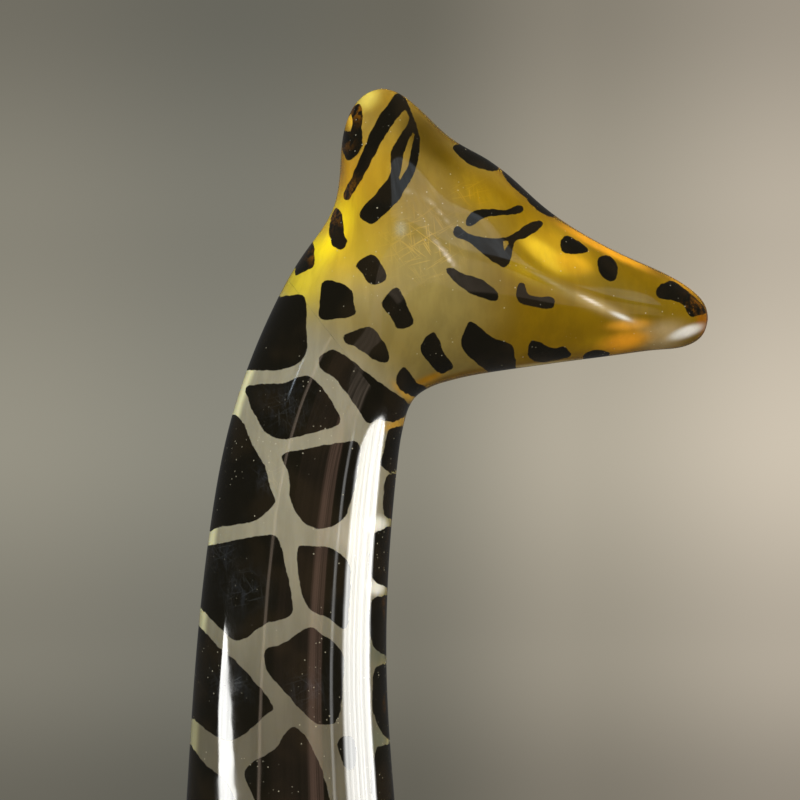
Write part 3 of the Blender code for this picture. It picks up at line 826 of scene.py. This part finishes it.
def store(data, marks, points, normals):
    """Writes the markings, scuffs, the painted glow through sheer paint, and resin colours with their painted
    glows and rim light on a mesh's vertices.
    """
    wear = touched(points, SCUFFS)
    sheer_paint_glow = np.maximum(touched(points, THIN_PAINT), throat_glow_line(points, normals))
    for name, values in (("mark", marks), ("wear", wear), ("sheer_paint_glow", sheer_paint_glow)):
        layer = data.attributes.new(name, "FLOAT", "POINT")
        layer.data.foreach_set("value", values.astype(np.float32))
    colours = resin_colours(points, normals)
    for name, colour in zip(("core", "edge"), colours):
        layer = data.attributes.new(name, "FLOAT_COLOR", "POINT")
        rgba = np.concatenate((colour, np.ones((len(colour), 1))), axis=1)
        layer.data.foreach_set("color", rgba.astype(np.float32).ravel())


def read_points(data):
    """Vertex positions in millimetres, and vertex normals."""
    points = np.empty(len(data.vertices) * 3, np.float32)
    data.vertices.foreach_get("co", points)
    normals = np.empty(len(data.vertices) * 3, np.float32)
    data.vertex_normals.foreach_get("vector", normals)
    return points.reshape(-1, 3).astype(float) / MM, normals.reshape(-1, 3).astype(float)


# ---------------------------------------------------------------- materials


class Graph:
    """Short calls that add nodes to a material, a light or the world."""

    def __init__(self, owner):
        owner.use_nodes = True
        self.owner = owner
        self.tree = owner.node_tree
        self.place = None

    def add(self, kind, **settings):
        node = self.tree.nodes.new(kind)
        for name, value in settings.items():
            setattr(node, name, value)
        return node

    def feed(self, socket, value):
        if isinstance(value, bpy.types.NodeSocket):
            self.tree.links.new(value, socket)
        elif socket.type == "RGBA" and len(value) == 3:
            socket.default_value = (*value, 1.0)
        else:
            socket.default_value = value

    def vector(self, operation, a, b=None, scale=None):
        node = self.add("ShaderNodeVectorMath", operation=operation)
        self.feed(node.inputs[0], a)
        if b is not None:
            self.feed(node.inputs[1], b)
        if scale is not None:
            self.feed(node.inputs["Scale"], scale)
        return node.outputs[0]

    def math(self, operation, *values):
        node = self.add("ShaderNodeMath", operation=operation)
        for socket, value in zip(node.inputs, values):
            self.feed(socket, value)
        return node.outputs[0]

    def spread(self, value, low, high, to_low=0.0, to_high=1.0):
        """A smooth step from one value to another as the input goes from low to high."""
        node = self.add("ShaderNodeMapRange", interpolation_type="SMOOTHSTEP")
        for socket, number in zip(node.inputs, (value, low, high, to_low, to_high)):
            self.feed(socket, number)
        return node.outputs[0]

    def mix(self, amount, a, b, blend="MIX"):
        node = self.add("ShaderNodeMix", data_type="RGBA", blend_type=blend)
        self.feed(node.inputs[0], amount)
        self.feed(node.inputs[6], a)
        self.feed(node.inputs[7], b)
        return node.outputs[2]

    def shade(self, amount, colour, factors):
        """The colour times the factors, as far as the amount says."""
        return self.mix(amount, colour, self.mix(1.0, colour, factors, "MULTIPLY"))

    def noise(self, scale, detail=2.0, roughness=0.5, place=None, stretch=None):
        """Noise whose features are about that many millimetres across."""
        place = self.place if place is None else place
        if stretch is not None:
            place = self.vector("MULTIPLY", place, stretch)
        node = self.add("ShaderNodeTexNoise")
        self.feed(node.inputs["Vector"], place)
        self.feed(node.inputs["Scale"], 1 / scale)
        self.feed(node.inputs["Detail"], detail)
        self.feed(node.inputs["Roughness"], roughness)
        return node.outputs["Fac"]

    def attribute(self, name, output="Color"):
        return self.add("ShaderNodeAttribute", attribute_name=name).outputs[output]

    def turned(self, degrees, stretch):
        """The place turned about Y and then stretched, for scratches that run one way."""
        node = self.add("ShaderNodeVectorRotate", rotation_type="Y_AXIS")
        self.feed(node.inputs["Vector"], self.place)
        self.feed(node.inputs["Angle"], math.radians(degrees))
        return self.vector("MULTIPLY", node.outputs[0], stretch)

    def hairlines(self, degrees, width=0.3, length=6.0):
        """1 on long thin scratches that run at an angle, and 0 elsewhere."""
        lines = self.noise(1.0, 0.0, place=self.turned(degrees, (1 / length, 1 / 40, 1 / width)))
        return self.spread(lines, 0.71, 0.78)

    def specks(self, spacing, radius):
        """1 on scattered dots."""
        node = self.add("ShaderNodeTexVoronoi", feature="F1")
        self.feed(node.inputs["Vector"], self.place)
        self.feed(node.inputs["Scale"], 1 / spacing)
        dot = self.spread(node.outputs["Distance"], 0.0, radius / spacing, 1.0, 0.0)
        kept = self.math("GREATER_THAN", self.split(node.outputs["Color"])[0], 0.5)
        return self.math("MULTIPLY", dot, kept)

    def bump(self, height, distance, strength=1.0, normal=None):
        node = self.add("ShaderNodeBump")
        self.feed(node.inputs["Height"], height)
        self.feed(node.inputs["Distance"], distance * MM)
        self.feed(node.inputs["Strength"], strength)
        if normal is not None:
            self.feed(node.inputs["Normal"], normal)
        return node.outputs[0]

    def split(self, value):
        """The three numbers of a vector or colour."""
        node = self.add("ShaderNodeSeparateXYZ")
        self.feed(node.inputs[0], value)
        return node.outputs

    def set(self, **values):
        shader = self.tree.nodes["Principled BSDF"]
        for name, value in values.items():
            self.feed(shader.inputs[name.replace("_", " ")], value)
        return self.owner


def material_graph(name):
    """A new material's graph, with its place in millimetres."""
    g = Graph(bpy.data.materials.new(name))
    g.place = g.vector("SCALE", g.add("ShaderNodeTexCoord").outputs["Object"], scale=1 / MM)
    return g


PAINT_BLACK = pigment(29, 27, 22)
PAINT_SHEER = pigment(38, 33, 25)
# A painted amber glow of light showing through sheer paint.
PAINT_GLOWING = pigment(132, 84, 20)
DUST = pigment(214, 206, 176)
SCRATCH = pigment(88, 90, 88)
RUBBED = pigment(66, 69, 74)
SCRATCH_ANGLES = (-38, -57, -84, 14, 31)
# How far the brush's edge wavers and how soft it is, in millimetres.
BRUSH_TREMBLE = 0.8
BRUSH_SOFTNESS = 0.1


def resin_body(g):
    """Cloudy, veiled resin whose colour turns to a painted rim glow of refracted light at a grazing angle."""
    facing = g.add("ShaderNodeLayerWeight")
    facing.inputs["Blend"].default_value = 0.5
    grazing = g.spread(facing.outputs["Facing"], 0.50, 0.66)
    body = g.mix(grazing, g.attribute("core"), g.attribute("edge"))
    cloud = g.noise(9.0, 3.0, 0.55)
    body = g.shade(g.spread(cloud, 0.35, 0.7, 0.0, 0.35), body, (1.22, 1.20, 1.15))
    veil = g.noise(3.4, 4.0, 0.6, stretch=(1.0, 1.0, 0.14))
    return g.shade(g.spread(veil, 0.38, 0.62, 0.0, 0.5), body, (0.74, 0.73, 0.71))


def resin_paint(g, wear):
    """Dark paint, here and there a little sheer, with a painted amber glow where it is sheerest and along the
    throat's lines, and hazed where rubbed.
    """
    paint = g.mix(g.spread(g.noise(12.0, 2.0), 0.45, 0.65), PAINT_BLACK, PAINT_SHEER)
    streaky = g.spread(g.noise(1.6, 3.0, 0.6), 0.42, 0.62)
    paint = g.mix(g.math("MULTIPLY", g.attribute("sheer_paint_glow", "Fac"), streaky), paint, PAINT_GLOWING)
    smear = g.spread(g.noise(1.8, 4.0, 0.7, stretch=(1.0, 1.0, 0.5)), 0.44, 0.66, 0.0, 0.7)
    return g.mix(g.math("MULTIPLY", wear, smear), paint, RUBBED)


def resin_scratches(g, wear):
    """Hairlines in the scuffed places, in a few directions."""
    scratches = 0.0
    for degrees in SCRATCH_ANGLES:
        scratches = g.math("MAXIMUM", scratches, g.hairlines(degrees))
    return g.math("MULTIPLY", scratches, wear)


def resin_dust(g, wear):
    """Coarse specks everywhere, and fine ones in clusters and in the scuffed places."""
    dusty = g.math("ADD", wear, g.spread(g.noise(16.0, 1.0), 0.5, 0.65))
    fine = g.math("MULTIPLY", g.specks(1.2, 0.22), g.math("MINIMUM", dusty, 1.0))
    return g.math("MAXIMUM", g.specks(2.6, 0.24), fine)


def resin_material():
    """Polished translucent resin with glossy dark markings, fine scratches and specks."""
    g = material_graph("resin")
    wear = g.attribute("wear", "Fac")
    body = resin_body(g)
    tremble = g.math("MULTIPLY", g.math("SUBTRACT", g.noise(2.4, 2.0), 0.5), BRUSH_TREMBLE)
    distance = g.math("ADD", g.attribute("mark", "Fac"), tremble)
    inside = g.spread(distance, -BRUSH_SOFTNESS, BRUSH_SOFTNESS, 1.0, 0.0)
    colour = g.mix(inside, body, resin_paint(g, wear))
    scratches = resin_scratches(g, wear)
    scratched = g.mix(inside, g.shade(1.0, body, (2.0, 1.8, 1.4)), SCRATCH)
    colour = g.mix(g.math("MULTIPLY", scratches, 0.55), colour, scratched)
    colour = g.mix(g.math("MULTIPLY", resin_dust(g, wear), 0.75), colour, DUST)
    waves = g.bump(g.noise(11.0, 1.0), 0.05)
    return g.set(
        Base_Color=colour,
        Roughness=g.spread(g.noise(7.0, 3.0), 0.4, 0.7, 0.045, 0.08),
        IOR=1.52,
        Normal=g.bump(scratches, 0.002, 0.2, waves),
        Subsurface_Weight=g.math("MULTIPLY", g.math("SUBTRACT", 1.0, inside), 0.3),
        Subsurface_Radius=(1.0, 0.65, 0.25),
        Subsurface_Scale=3.0 * MM,
    )


def acrylic_material():
    """Clear rod, drawn with faint lengthwise lines."""
    g = material_graph("clear_rod")
    lines = g.noise(0.6, 2.0, stretch=(1.0, 1.0, 0.05))
    return g.set(
        Base_Color=g.mix(lines, linear(214, 212, 200), linear(186, 184, 172)),
        Roughness=g.spread(lines, 0.3, 0.7, 0.05, 0.14),
        Normal=g.bump(lines, 0.02),
        Transmission_Weight=0.45,
    )


def wood_material():
    """Dark stained hardwood under satin varnish."""
    g = material_graph("dark_wood")
    stretched = g.vector("MULTIPLY", g.place, (0.10, 1.0, 1.0))
    warp = g.noise(14.0, 3.0, 0.6, place=stretched)
    rings = g.add("ShaderNodeTexWave", wave_type="BANDS", bands_direction="Y")
    g.feed(rings.inputs["Vector"], g.vector("ADD", g.place, g.vector("SCALE", stretched, scale=0.2)))
    g.feed(rings.inputs["Scale"], 0.035)
    g.feed(rings.inputs["Distortion"], 9.0)
    g.feed(rings.inputs["Detail"], 3.0)
    g.feed(rings.inputs["Detail Scale"], 0.35)
    pores = g.noise(0.9, 3.0, 0.7, stretch=(0.035, 1.0, 1.0))
    figure = g.math("MULTIPLY", g.math("ADD", rings.outputs["Fac"], warp), 0.5)
    base = g.mix(figure, linear(38, 22, 14), linear(96, 58, 34))
    base = g.mix(g.spread(pores, 0.52, 0.66, 0.0, 0.75), base, linear(20, 11, 8))
    return g.set(
        Base_Color=base,
        Roughness=g.spread(pores, 0.4, 0.7, 0.30, 0.48),
        Normal=g.bump(pores, 0.06, 0.6),
        Coat_Weight=0.5,
        Coat_Roughness=0.18,
    )


def felt_material():
    """Green felt with a fine nap."""
    g = material_graph("felt")
    nap = g.noise(0.5, 5.0, 0.75)
    mottle = g.noise(5.0, 3.0)
    base = g.mix(nap, linear(22, 44, 32), linear(58, 86, 66))
    base = g.mix(g.spread(mottle, 0.4, 0.7, 0.0, 0.4), base, linear(34, 54, 44))
    return g.set(Base_Color=base, Roughness=0.95, Normal=g.bump(nap, 0.4), Sheen_Weight=0.4)


def metal_material(name, light, dark, roughness):
    """Turned metal: fine rings round the vertical axis and a little tarnish."""
    g = material_graph(name)
    turning = g.noise(0.25, 2.0, stretch=(0.3, 0.3, 1.0))
    tarnish = g.noise(2.5, 4.0, 0.6)
    return g.set(
        Base_Color=g.mix(g.spread(tarnish, 0.4, 0.7), light, dark),
        Metallic=1.0,
        Roughness=g.spread(turning, 0.3, 0.7, roughness, roughness + 0.18),
        Normal=g.bump(turning, 0.02),
    )


RESIN = resin_material()
ACRYLIC = acrylic_material()
WOOD = wood_material()
FELT = felt_material()
STEEL = metal_material("zinc_steel", linear(196, 196, 198), linear(150, 149, 146), 0.24)
BRASS = metal_material("brass", linear(214, 176, 96), linear(150, 112, 58), 0.26)

# ---------------------------------------------------------------- castings

# Width of the blend between the body and its leg stubs, and the cell of the mesh that joins them.
BLEND = 7.0
VOXEL = 1.3


def evaluated(obj):
    """An object's mesh after its modifiers."""
    bpy.context.view_layer.update()
    return bpy.data.meshes.new_from_object(obj.evaluated_get(bpy.context.evaluated_depsgraph_get()))


def tree_of(data):
    """A mesh's faces, ready for nearest-point questions."""
    mesh = bmesh.new()
    mesh.from_mesh(data)
    tree = BVHTree.FromBMesh(mesh)
    mesh.free()
    return tree


def signed_distances(trees, spots):
    """Distance in millimetres and outward direction from each tree's surface to each spot, in metres."""
    distances = np.full((len(trees), len(spots)), FAR)
    outward = np.zeros((len(trees), len(spots), 3))
    reach = 3 * BLEND * MM
    for i, tree in enumerate(trees):
        for k, spot in enumerate(spots):
            hit, normal, _, _ = tree.find_nearest(spot, reach)
            if hit is None:
                continue
            offset = Vector(spot) - hit
            sign = 1.0 if offset.dot(normal) >= 0 else -1.0
            distances[i, k] = sign * offset.length / MM
            outward[i, k] = normal
    return distances, outward


def blended(data, shapes):
    """Moves a remeshed union's vertices on to the smooth union of its shapes."""
    trees = [tree_of(shape) for shape in shapes]
    points, _ = read_points(data)
    for _ in range(2):
        distances, outward = signed_distances(trees, points * MM)
        weights = np.exp(-np.minimum(distances, FAR) / (BLEND / 4))
        total = weights.sum(axis=0)
        field = -(BLEND / 4) * np.log(np.maximum(total, 1e-12))
        direction = unit((weights[..., None] * outward).sum(axis=0) / total[:, None])
        points -= direction * np.clip(field, -2, 2)[:, None]
    data.vertices.foreach_set("co", (points * MM).astype(np.float32).ravel())
    data.update()
    return data


def cut_flat(data, point, normal):
    """Removes what lies beyond a plane and closes the cut."""
    mesh = bmesh.new()
    mesh.from_mesh(data)
    everything = mesh.verts[:] + mesh.edges[:] + mesh.faces[:]
    cut = bmesh.ops.bisect_plane(mesh, geom=everything, plane_co=point, plane_no=normal, clear_outer=True)
    rim = [item for item in cut["geom_cut"] if isinstance(item, bmesh.types.BMEdge)]
    bmesh.ops.edgeloop_fill(mesh, edges=rim)
    mesh.to_mesh(data)
    mesh.free()


def body_mesh():
    """Body and leg stubs flowing into one another, cut flat at the seams."""
    seam = TRUNK.at_station(NECK_SEAM)
    shapes = [trunk_mesh("body_trunk", 0, NECK_SEAM + 0.5, 2.0, 96)]
    for rows in LEGS.values():
        for side in SIDES.values():
            shapes.append(leg_mesh("body_stub", rows, side, rows[0][0] - 4, LEG_SEAM_Z - 8, 2.0, 64))
    objects = [add_object(shape.name, shape.copy()) for shape in shapes]
    with bpy.context.temp_override(active_object=objects[0], selected_editable_objects=objects):
        bpy.ops.object.join()
    union = objects[0]
    remesh = union.modifiers.new("remesh", "REMESH")
    remesh.mode = "VOXEL"
    remesh.voxel_size = VOXEL * MM
    data = evaluated(union)
    bpy.data.objects.remove(union)
    blended(data, shapes)
    centre, _, _, _ = TRUNK.sections(seam)
    axis = TRUNK.axis(seam)[0]
    cut_flat(data, Vector((centre[0] - axis * SEAM_GAP / 2) * MM), Vector(axis))
    cut_flat(data, Vector((0, 0, (LEG_SEAM_Z + SEAM_GAP / 2) * MM)), Vector((0, 0, -1)))
    data.name = "body"
    return settle(data, 60)


def casting(name, data, node, marks):
    """Adds a resin piece, with the markings that marks gives for its points and normals."""
    points, normals = read_points(data)
    store(data, marks(points, normals), points, normals)
    piece(name, data, node, RESIN)


def build_castings():
    """Head, neck, body and legs, with their markings and colours."""
    random = np.random.default_rng(11)
    legs = [(end, name) for end in LEGS for name in SIDES]
    leg_seed = [leg_seeds(LEGS[end], SIDES[name], random) for end, name in legs]
    patches = Patches(np.concatenate([trunk_seeds(random)] + leg_seed))
    nose = len(SPINE) - 1
    pieces = {
        "head": trunk_mesh("head", HEAD_SEAM, nose, 0.45, 220),
        "neck": trunk_mesh("neck", NECK_SEAM, HEAD_SEAM, 0.7, 190),
        "body": body_mesh(),
    }
    for name, data in pieces.items():
        casting(f"{name}_casting", data, name, lambda *surface: trunk_marks(*surface, patches))
    for end, name in legs:
        leg = f"{end}_{name}_leg"
        data = leg_mesh(leg, LEGS[end], SIDES[name], LEG_SEAM_Z - SEAM_GAP / 2, FOOT_Z)
        casting(f"{leg}_casting", data, leg, lambda points, _: leg_marks(points, patches))


def build_tail():
    """A thin rod that swells into a tuft combed into locks."""
    rows = np.array(TAIL)
    knots = np.concatenate(([0.0], np.cumsum(np.linalg.norm(np.diff(rows[:, :2], axis=0), axis=1))))
    curve = natural_spline(knots, rows)
    t = np.linspace(0, knots[-1], 220)
    x, z, radius = curve(t).T
    slope = unit(np.gradient(np.stack((x, z), axis=1), axis=0))
    angle = turns(48)
    tuft = smoothstep(TUFT_TOP_Z, TUFT_TOP_Z - 12, z)[:, None]
    locks = 1 + LOCK_DEPTH * tuft * np.cos(LOCKS * angle + LOCK_TWIST * z[:, None])
    across = radius[:, None] * np.cos(angle) * locks
    rings = np.empty((len(t), len(angle), 3))
    rings[..., 0] = x[:, None] - slope[:, 1][:, None] * across
    rings[..., 1] = radius[:, None] * np.sin(angle) * locks
    rings[..., 2] = z[:, None] + slope[:, 0][:, None] * across
    data = mesh_from_rings("tail", rings)
    casting("tail_rod", data, "tail", lambda points, _: points[:, 2] - TUFT_TOP_Z)


# ---------------------------------------------------------------- plinth and fixings

# Roundings of the plinth's upper and lower edge, and how far the felt's rim strays, as a share of its size.
PLINTH_EDGE = 3.0
PLINTH_FOOT = 1.2
FELT_FUZZ = 0.0012


def oval_rings(half_length, half_width, profile, sides):
    """Rings of an oval turned to a profile of (inset, height) points."""
    angle = turns(sides)
    rings = np.empty((len(profile), sides, 3))
    for ring, (inset, height) in zip(rings, profile):
        ring[:, 0] = (half_length - inset) * np.cos(angle)
        ring[:, 1] = (half_width - inset) * np.sin(angle)
        ring[:, 2] = height
    return rings


def oval_sizes(node):
    """Half length, half width, bottom and top of an oval CAD node that stands on the middle axis."""
    low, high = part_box(node)
    return (high.x - low.x) / 2 / MM, (high.y - low.y) / 2 / MM, low.z / MM, high.z / MM


def build_plinth():
    """An oval board with a small rounding below and a larger one above."""
    half_length, half_width, bottom, top = oval_sizes("plinth")
    quarter = [(math.sin(a), math.cos(a)) for a in np.linspace(0, math.pi / 2, 9)]
    lower = [(PLINTH_FOOT * (1 - sine), bottom + PLINTH_FOOT * (1 - cosine)) for sine, cosine in quarter]
    upper = [(PLINTH_EDGE * (1 - cosine), top - PLINTH_EDGE * (1 - sine)) for sine, cosine in quarter]
    profile = lower + upper + [(inset, top) for inset in (8, 20, 34, 50)]
    rings = oval_rings(half_length, half_width, profile, 240)
    data = mesh_from_rings("plinth", rings)
    piece("plinth_oval", data, "plinth", WOOD)


def build_felt():
    """The felt pad, with a slightly fuzzy rim."""
    half_length, half_width, bottom, top = oval_sizes("felt")
    profile = [(0.3, bottom), (0.0, 0.4), (0.05, 0.9), (0.3, top)]
    rings = oval_rings(half_length, half_width, profile, 600)
    rings[1:3, :, :2] *= 1 + FELT_FUZZ * np.random.default_rng(5).normal(size=(2, 600, 1))
    data = mesh_from_rings("felt", rings)
    piece("felt_pad", data, "felt", FELT)


def dress_fixings():
    """Materials for the CAD nodes whose shape stays."""
    looks = {"_dowel": ACRYLIC, "_screw": STEEL, "_insert": BRASS}
    for name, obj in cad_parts.items():
        for ending, material in looks.items():
            if name.endswith(ending):
                paint_with(obj.data, material)


# ---------------------------------------------------------------- studio

AIM = Vector((SIDE_VIEW_MIDDLE[0], 0.0, SIDE_VIEW_MIDDLE[1])) * MM
FRAME_WIDTH = 172.0 * MM
LENS = 120.0
SENSOR = 36.0
WARM, COOL, ROSE, WHITE = (1.0, 0.96, 0.90), (0.76, 0.88, 1.0), (1.0, 0.60, 0.44), (1.0, 1.0, 0.97)
TAN = (1.0, 0.78, 0.60)
# What the gloss of the head mirrors, and what the rest mirrors. Each has azimuths, elevations, roll,
# softness of the upright edges, strength of the streaks along it, radiance, colour.
HEAD_MIRRORS = {
    "panel_cool": ((-8, 36), (8, 38), 0, 0.03, 0.5, 0.95, COOL),
    "panel_tan": ((-6, 31), (-22, 4), 0, 0.05, 0.4, 0.6, TAN),
}
REST_MIRRORS = {
    "window_right": ((56, 106), (-21.5, 28.5), -5, 0.12, 0.5, 19, WHITE),
    "bar_left": ((-83, -36.3), (-9.2, -4.0), -12, 0.02, 0.2, 22, WHITE),
    "wall_rose": ((16, 34), (-14, 5), 0, 0.2, 1.0, 1.4, ROSE),
    "wall_tan": ((0, 46), (-32, -14), 0, 0.1, 1.0, 1.1, TAN),
    "wall_low": ((-24, 36), (-14, 0), 0, 0.2, 0.6, 0.16, ROSE),
    "slit_grey": ((41.5, 46), (-16, 6), 0, 0.3, 0.7, 3.6, WHITE),
    "slit_rose": ((-31.5, -27), (-30, 12), 0, 0.35, 1.0, 2.6, TAN),
    "slit_cool": ((-48.4, -46.6), (9.6, 12.4), 0, 0.3, 0.3, 9, COOL),
}
MIRROR_DISTANCE = 3.0
# Streaks over a mirrored light's width and height, and how much its ends are rounded.
STREAKS_ACROSS = 14.0
STREAKS_ALONG = 1.5
END_ROUNDING = 1.2
# Soft light, not mirrored: azimuth, elevation, distance, side, radiance, colour.
SOFT = {
    "key": (25, 35, 1.6, 1.2, 5.0, WARM),
    "fill": (-40, 15, 1.8, 1.4, 2.6, COOL),
    "back": (150, 40, 1.6, 1.0, 9.0, WARM),
}


def area_light(name, azimuth, elevation, roll, distance, size, radiance, colour):
    """A rectangular light that faces the statue. Azimuth 0 is the camera's side and grows towards +X."""
    data = bpy.data.lights.new(name, "AREA")
    data.shape = "RECTANGLE"
    data.size, data.size_y = size
    data.energy = radiance * math.pi * size[0] * size[1]
    data.color = colour
    obj = add_object(name, data)
    a, e = math.radians(azimuth), math.radians(elevation)
    back = Vector((math.sin(a) * math.cos(e), -math.cos(a) * math.cos(e), math.sin(e)))
    obj.location = AIM + back * distance
    obj.rotation_mode = "QUATERNION"
    turn = Quaternion((0, 0, 1), math.radians(roll))
    obj.rotation_quaternion = back.to_track_quat("Z", "Y") @ turn
    obj.visible_camera = False
    return obj


def soften(light, softness, streaks):
    """Fades a light towards its upright edges, rounds its ends and streaks it along its height."""
    g = Graph(light)
    across, along, _ = g.split(g.add("ShaderNodeNewGeometry").outputs["Parametric"])
    sideways = g.math("ABSOLUTE", g.math("SUBTRACT", across, 0.5))
    edge = g.spread(sideways, 0.5 - softness, 0.5, 1.0, 0.0)
    lengthways = g.math("ABSOLUTE", g.math("SUBTRACT", along, 0.5))
    rounding = g.math("MULTIPLY", g.math("POWER", sideways, 3.0), END_ROUNDING)
    ends = g.spread(g.math("ADD", lengthways, rounding), 0.47, 0.5, 1.0, 0.0)
    place = g.add("ShaderNodeCombineXYZ")
    g.feed(place.inputs[0], g.math("MULTIPLY", across, STREAKS_ACROSS))
    g.feed(place.inputs[1], g.math("MULTIPLY", along, STREAKS_ALONG))
    lines = g.spread(g.noise(1.0, 2.0, 0.6, place=place.outputs[0]), 0.35, 0.65, 1.0 - streaks * 0.75, 1.1)
    strength = g.math("MULTIPLY", g.math("MULTIPLY", edge, ends), lines)
    g.feed(g.tree.nodes["Emission"].inputs["Strength"], strength)


def build_mirrors(mirrors, receivers):
    """Lights that are seen in the gloss of some pieces and do nothing else."""
    group = bpy.data.collections.new("receivers")
    for obj in receivers:
        group.objects.link(obj)
    for name, (azimuths, elevations, roll, softness, streaks, radiance, colour) in mirrors.items():
        azimuth, elevation = sum(azimuths) / 2, sum(elevations) / 2
        spans = [math.radians(high - low) / 2 for low, high in (azimuths, elevations)]
        width, height = (2 * MIRROR_DISTANCE * math.tan(span) for span in spans)
        size = (width * math.cos(math.radians(elevation)), height)
        obj = area_light(name, azimuth, elevation, roll, MIRROR_DISTANCE, size, radiance, colour)
        obj.visible_diffuse = False
        obj.light_linking.receiver_collection = group
        soften(obj.data, softness, streaks)


def build_lights():
    """One set of mirrored lights for the head, one for the rest, and soft light on everything."""
    pieces = [obj for obj in bpy.context.scene.objects if obj.type == "MESH" and obj.name != "floor"]
    head = [obj for obj in pieces if obj.name == "head_casting"]
    build_mirrors(HEAD_MIRRORS, head)
    build_mirrors(REST_MIRRORS, [obj for obj in pieces if obj not in head])
    for name, (azimuth, elevation, distance, side, radiance, colour) in SOFT.items():
        obj = area_light(name, azimuth, elevation, 0, distance, (side, side), radiance, colour)
        obj.visible_glossy = False


# The room's colour from left to right and its brightness from bottom to top. AMBIENT lights the statue
# evenly, and GLOSS_SEES is how bright the room is in reflections.
ROOM_ACROSS = (
    (0.0, (150, 146, 132)),
    (0.3, (138, 136, 124)),
    (0.5, (142, 138, 124)),
    (0.72, (178, 170, 153)),
    (1.0, (206, 195, 177)),
)
ROOM_UP = ((0.0, 0.46), (0.2, 0.72), (0.45, 1.0), (0.72, 0.80), (1.0, 0.54))
AMBIENT = 0.75
GLOSS_SEES = 0.06


def ramp(g, value, stops):
    """Colours between stops, as the value goes from -0.15 to 0.15."""
    node = g.add("ShaderNodeValToRGB")
    node.color_ramp.interpolation = "EASE"
    g.feed(node.inputs["Fac"], g.math("ADD", g.math("DIVIDE", value, 0.3), 0.5))
    elements = node.color_ramp.elements
    while len(elements) < len(stops):
        elements.new(0.5)
    for element, (position, colour) in zip(elements, stops):
        element.position = position
        element.color = (*colour, 1.0)
    return node.outputs["Color"]


def build_world():
    """A mid grey room, brighter to the right, that lights evenly and is barely mirrored."""
    world = bpy.data.worlds.new("studio")
    bpy.context.scene.world = world
    g = Graph(world)
    x, _, z = g.split(g.add("ShaderNodeTexCoord").outputs["Generated"])
    across = ramp(g, x, [(position, linear(*colour)) for position, colour in ROOM_ACROSS])
    up = ramp(g, z, [(position, (level,) * 3) for position, level in ROOM_UP])
    rays = g.add("ShaderNodeLightPath").outputs
    unseen = g.mix(rays["Is Glossy Ray"], AMBIENT * np.ones(3), GLOSS_SEES * np.ones(3))
    colour = g.mix(rays["Is Camera Ray"], unseen, g.mix(1.0, across, up, "MULTIPLY"))
    g.feed(g.tree.nodes["Background"].inputs["Color"], colour)


# The floor's radius, the share of it that is solid before it fades, and its gap below the felt.
FLOOR_RADIUS = 1.5
FLOOR_SOLID = 0.35
FLOOR_GAP = 0.0002


def build_floor():
    """A pale disc that fades into the room at its rim."""
    mesh = bmesh.new()
    bmesh.ops.create_circle(mesh, cap_ends=True, segments=96, radius=FLOOR_RADIUS)
    data = bpy.data.meshes.new("floor")
    mesh.to_mesh(data)
    mesh.free()
    obj = add_object("floor", data)
    obj.location.z = CAD_BOX[0].z - FLOOR_GAP
    g = material_graph("pale_floor")
    length = g.add("ShaderNodeVectorMath", operation="LENGTH")
    g.feed(length.inputs[0], g.place)
    radius = FLOOR_RADIUS / MM
    grain = g.noise(60.0, 4.0)
    g.set(
        Base_Color=g.mix(grain, linear(176, 173, 167), linear(166, 163, 156)),
        Roughness=1.0,
        Specular_IOR_Level=0.0,
        Alpha=g.spread(length.outputs["Value"], radius * FLOOR_SOLID, radius, 1.0, 0.0),
    )
    data.materials.append(g.owner)
    obj.visible_glossy = False
    obj.visible_shadow = False


def build_camera():
    """A camera level with the throat and square to the right flank."""
    data = bpy.data.cameras.new("camera")
    data.lens, data.sensor_width = LENS, SENSOR
    obj = add_object("camera", data)
    distance = FRAME_WIDTH * LENS / SENSOR
    obj.location = AIM + Vector((0, -distance, 0))
    obj.rotation_euler = (math.pi / 2, 0, 0)
    bpy.context.scene.camera = obj


build_castings()
build_tail()
build_plinth()
build_felt()
dress_fixings()
build_floor()
build_lights()
build_world()
build_camera()
bpy.context.scene.view_settings.view_transform = "Standard"
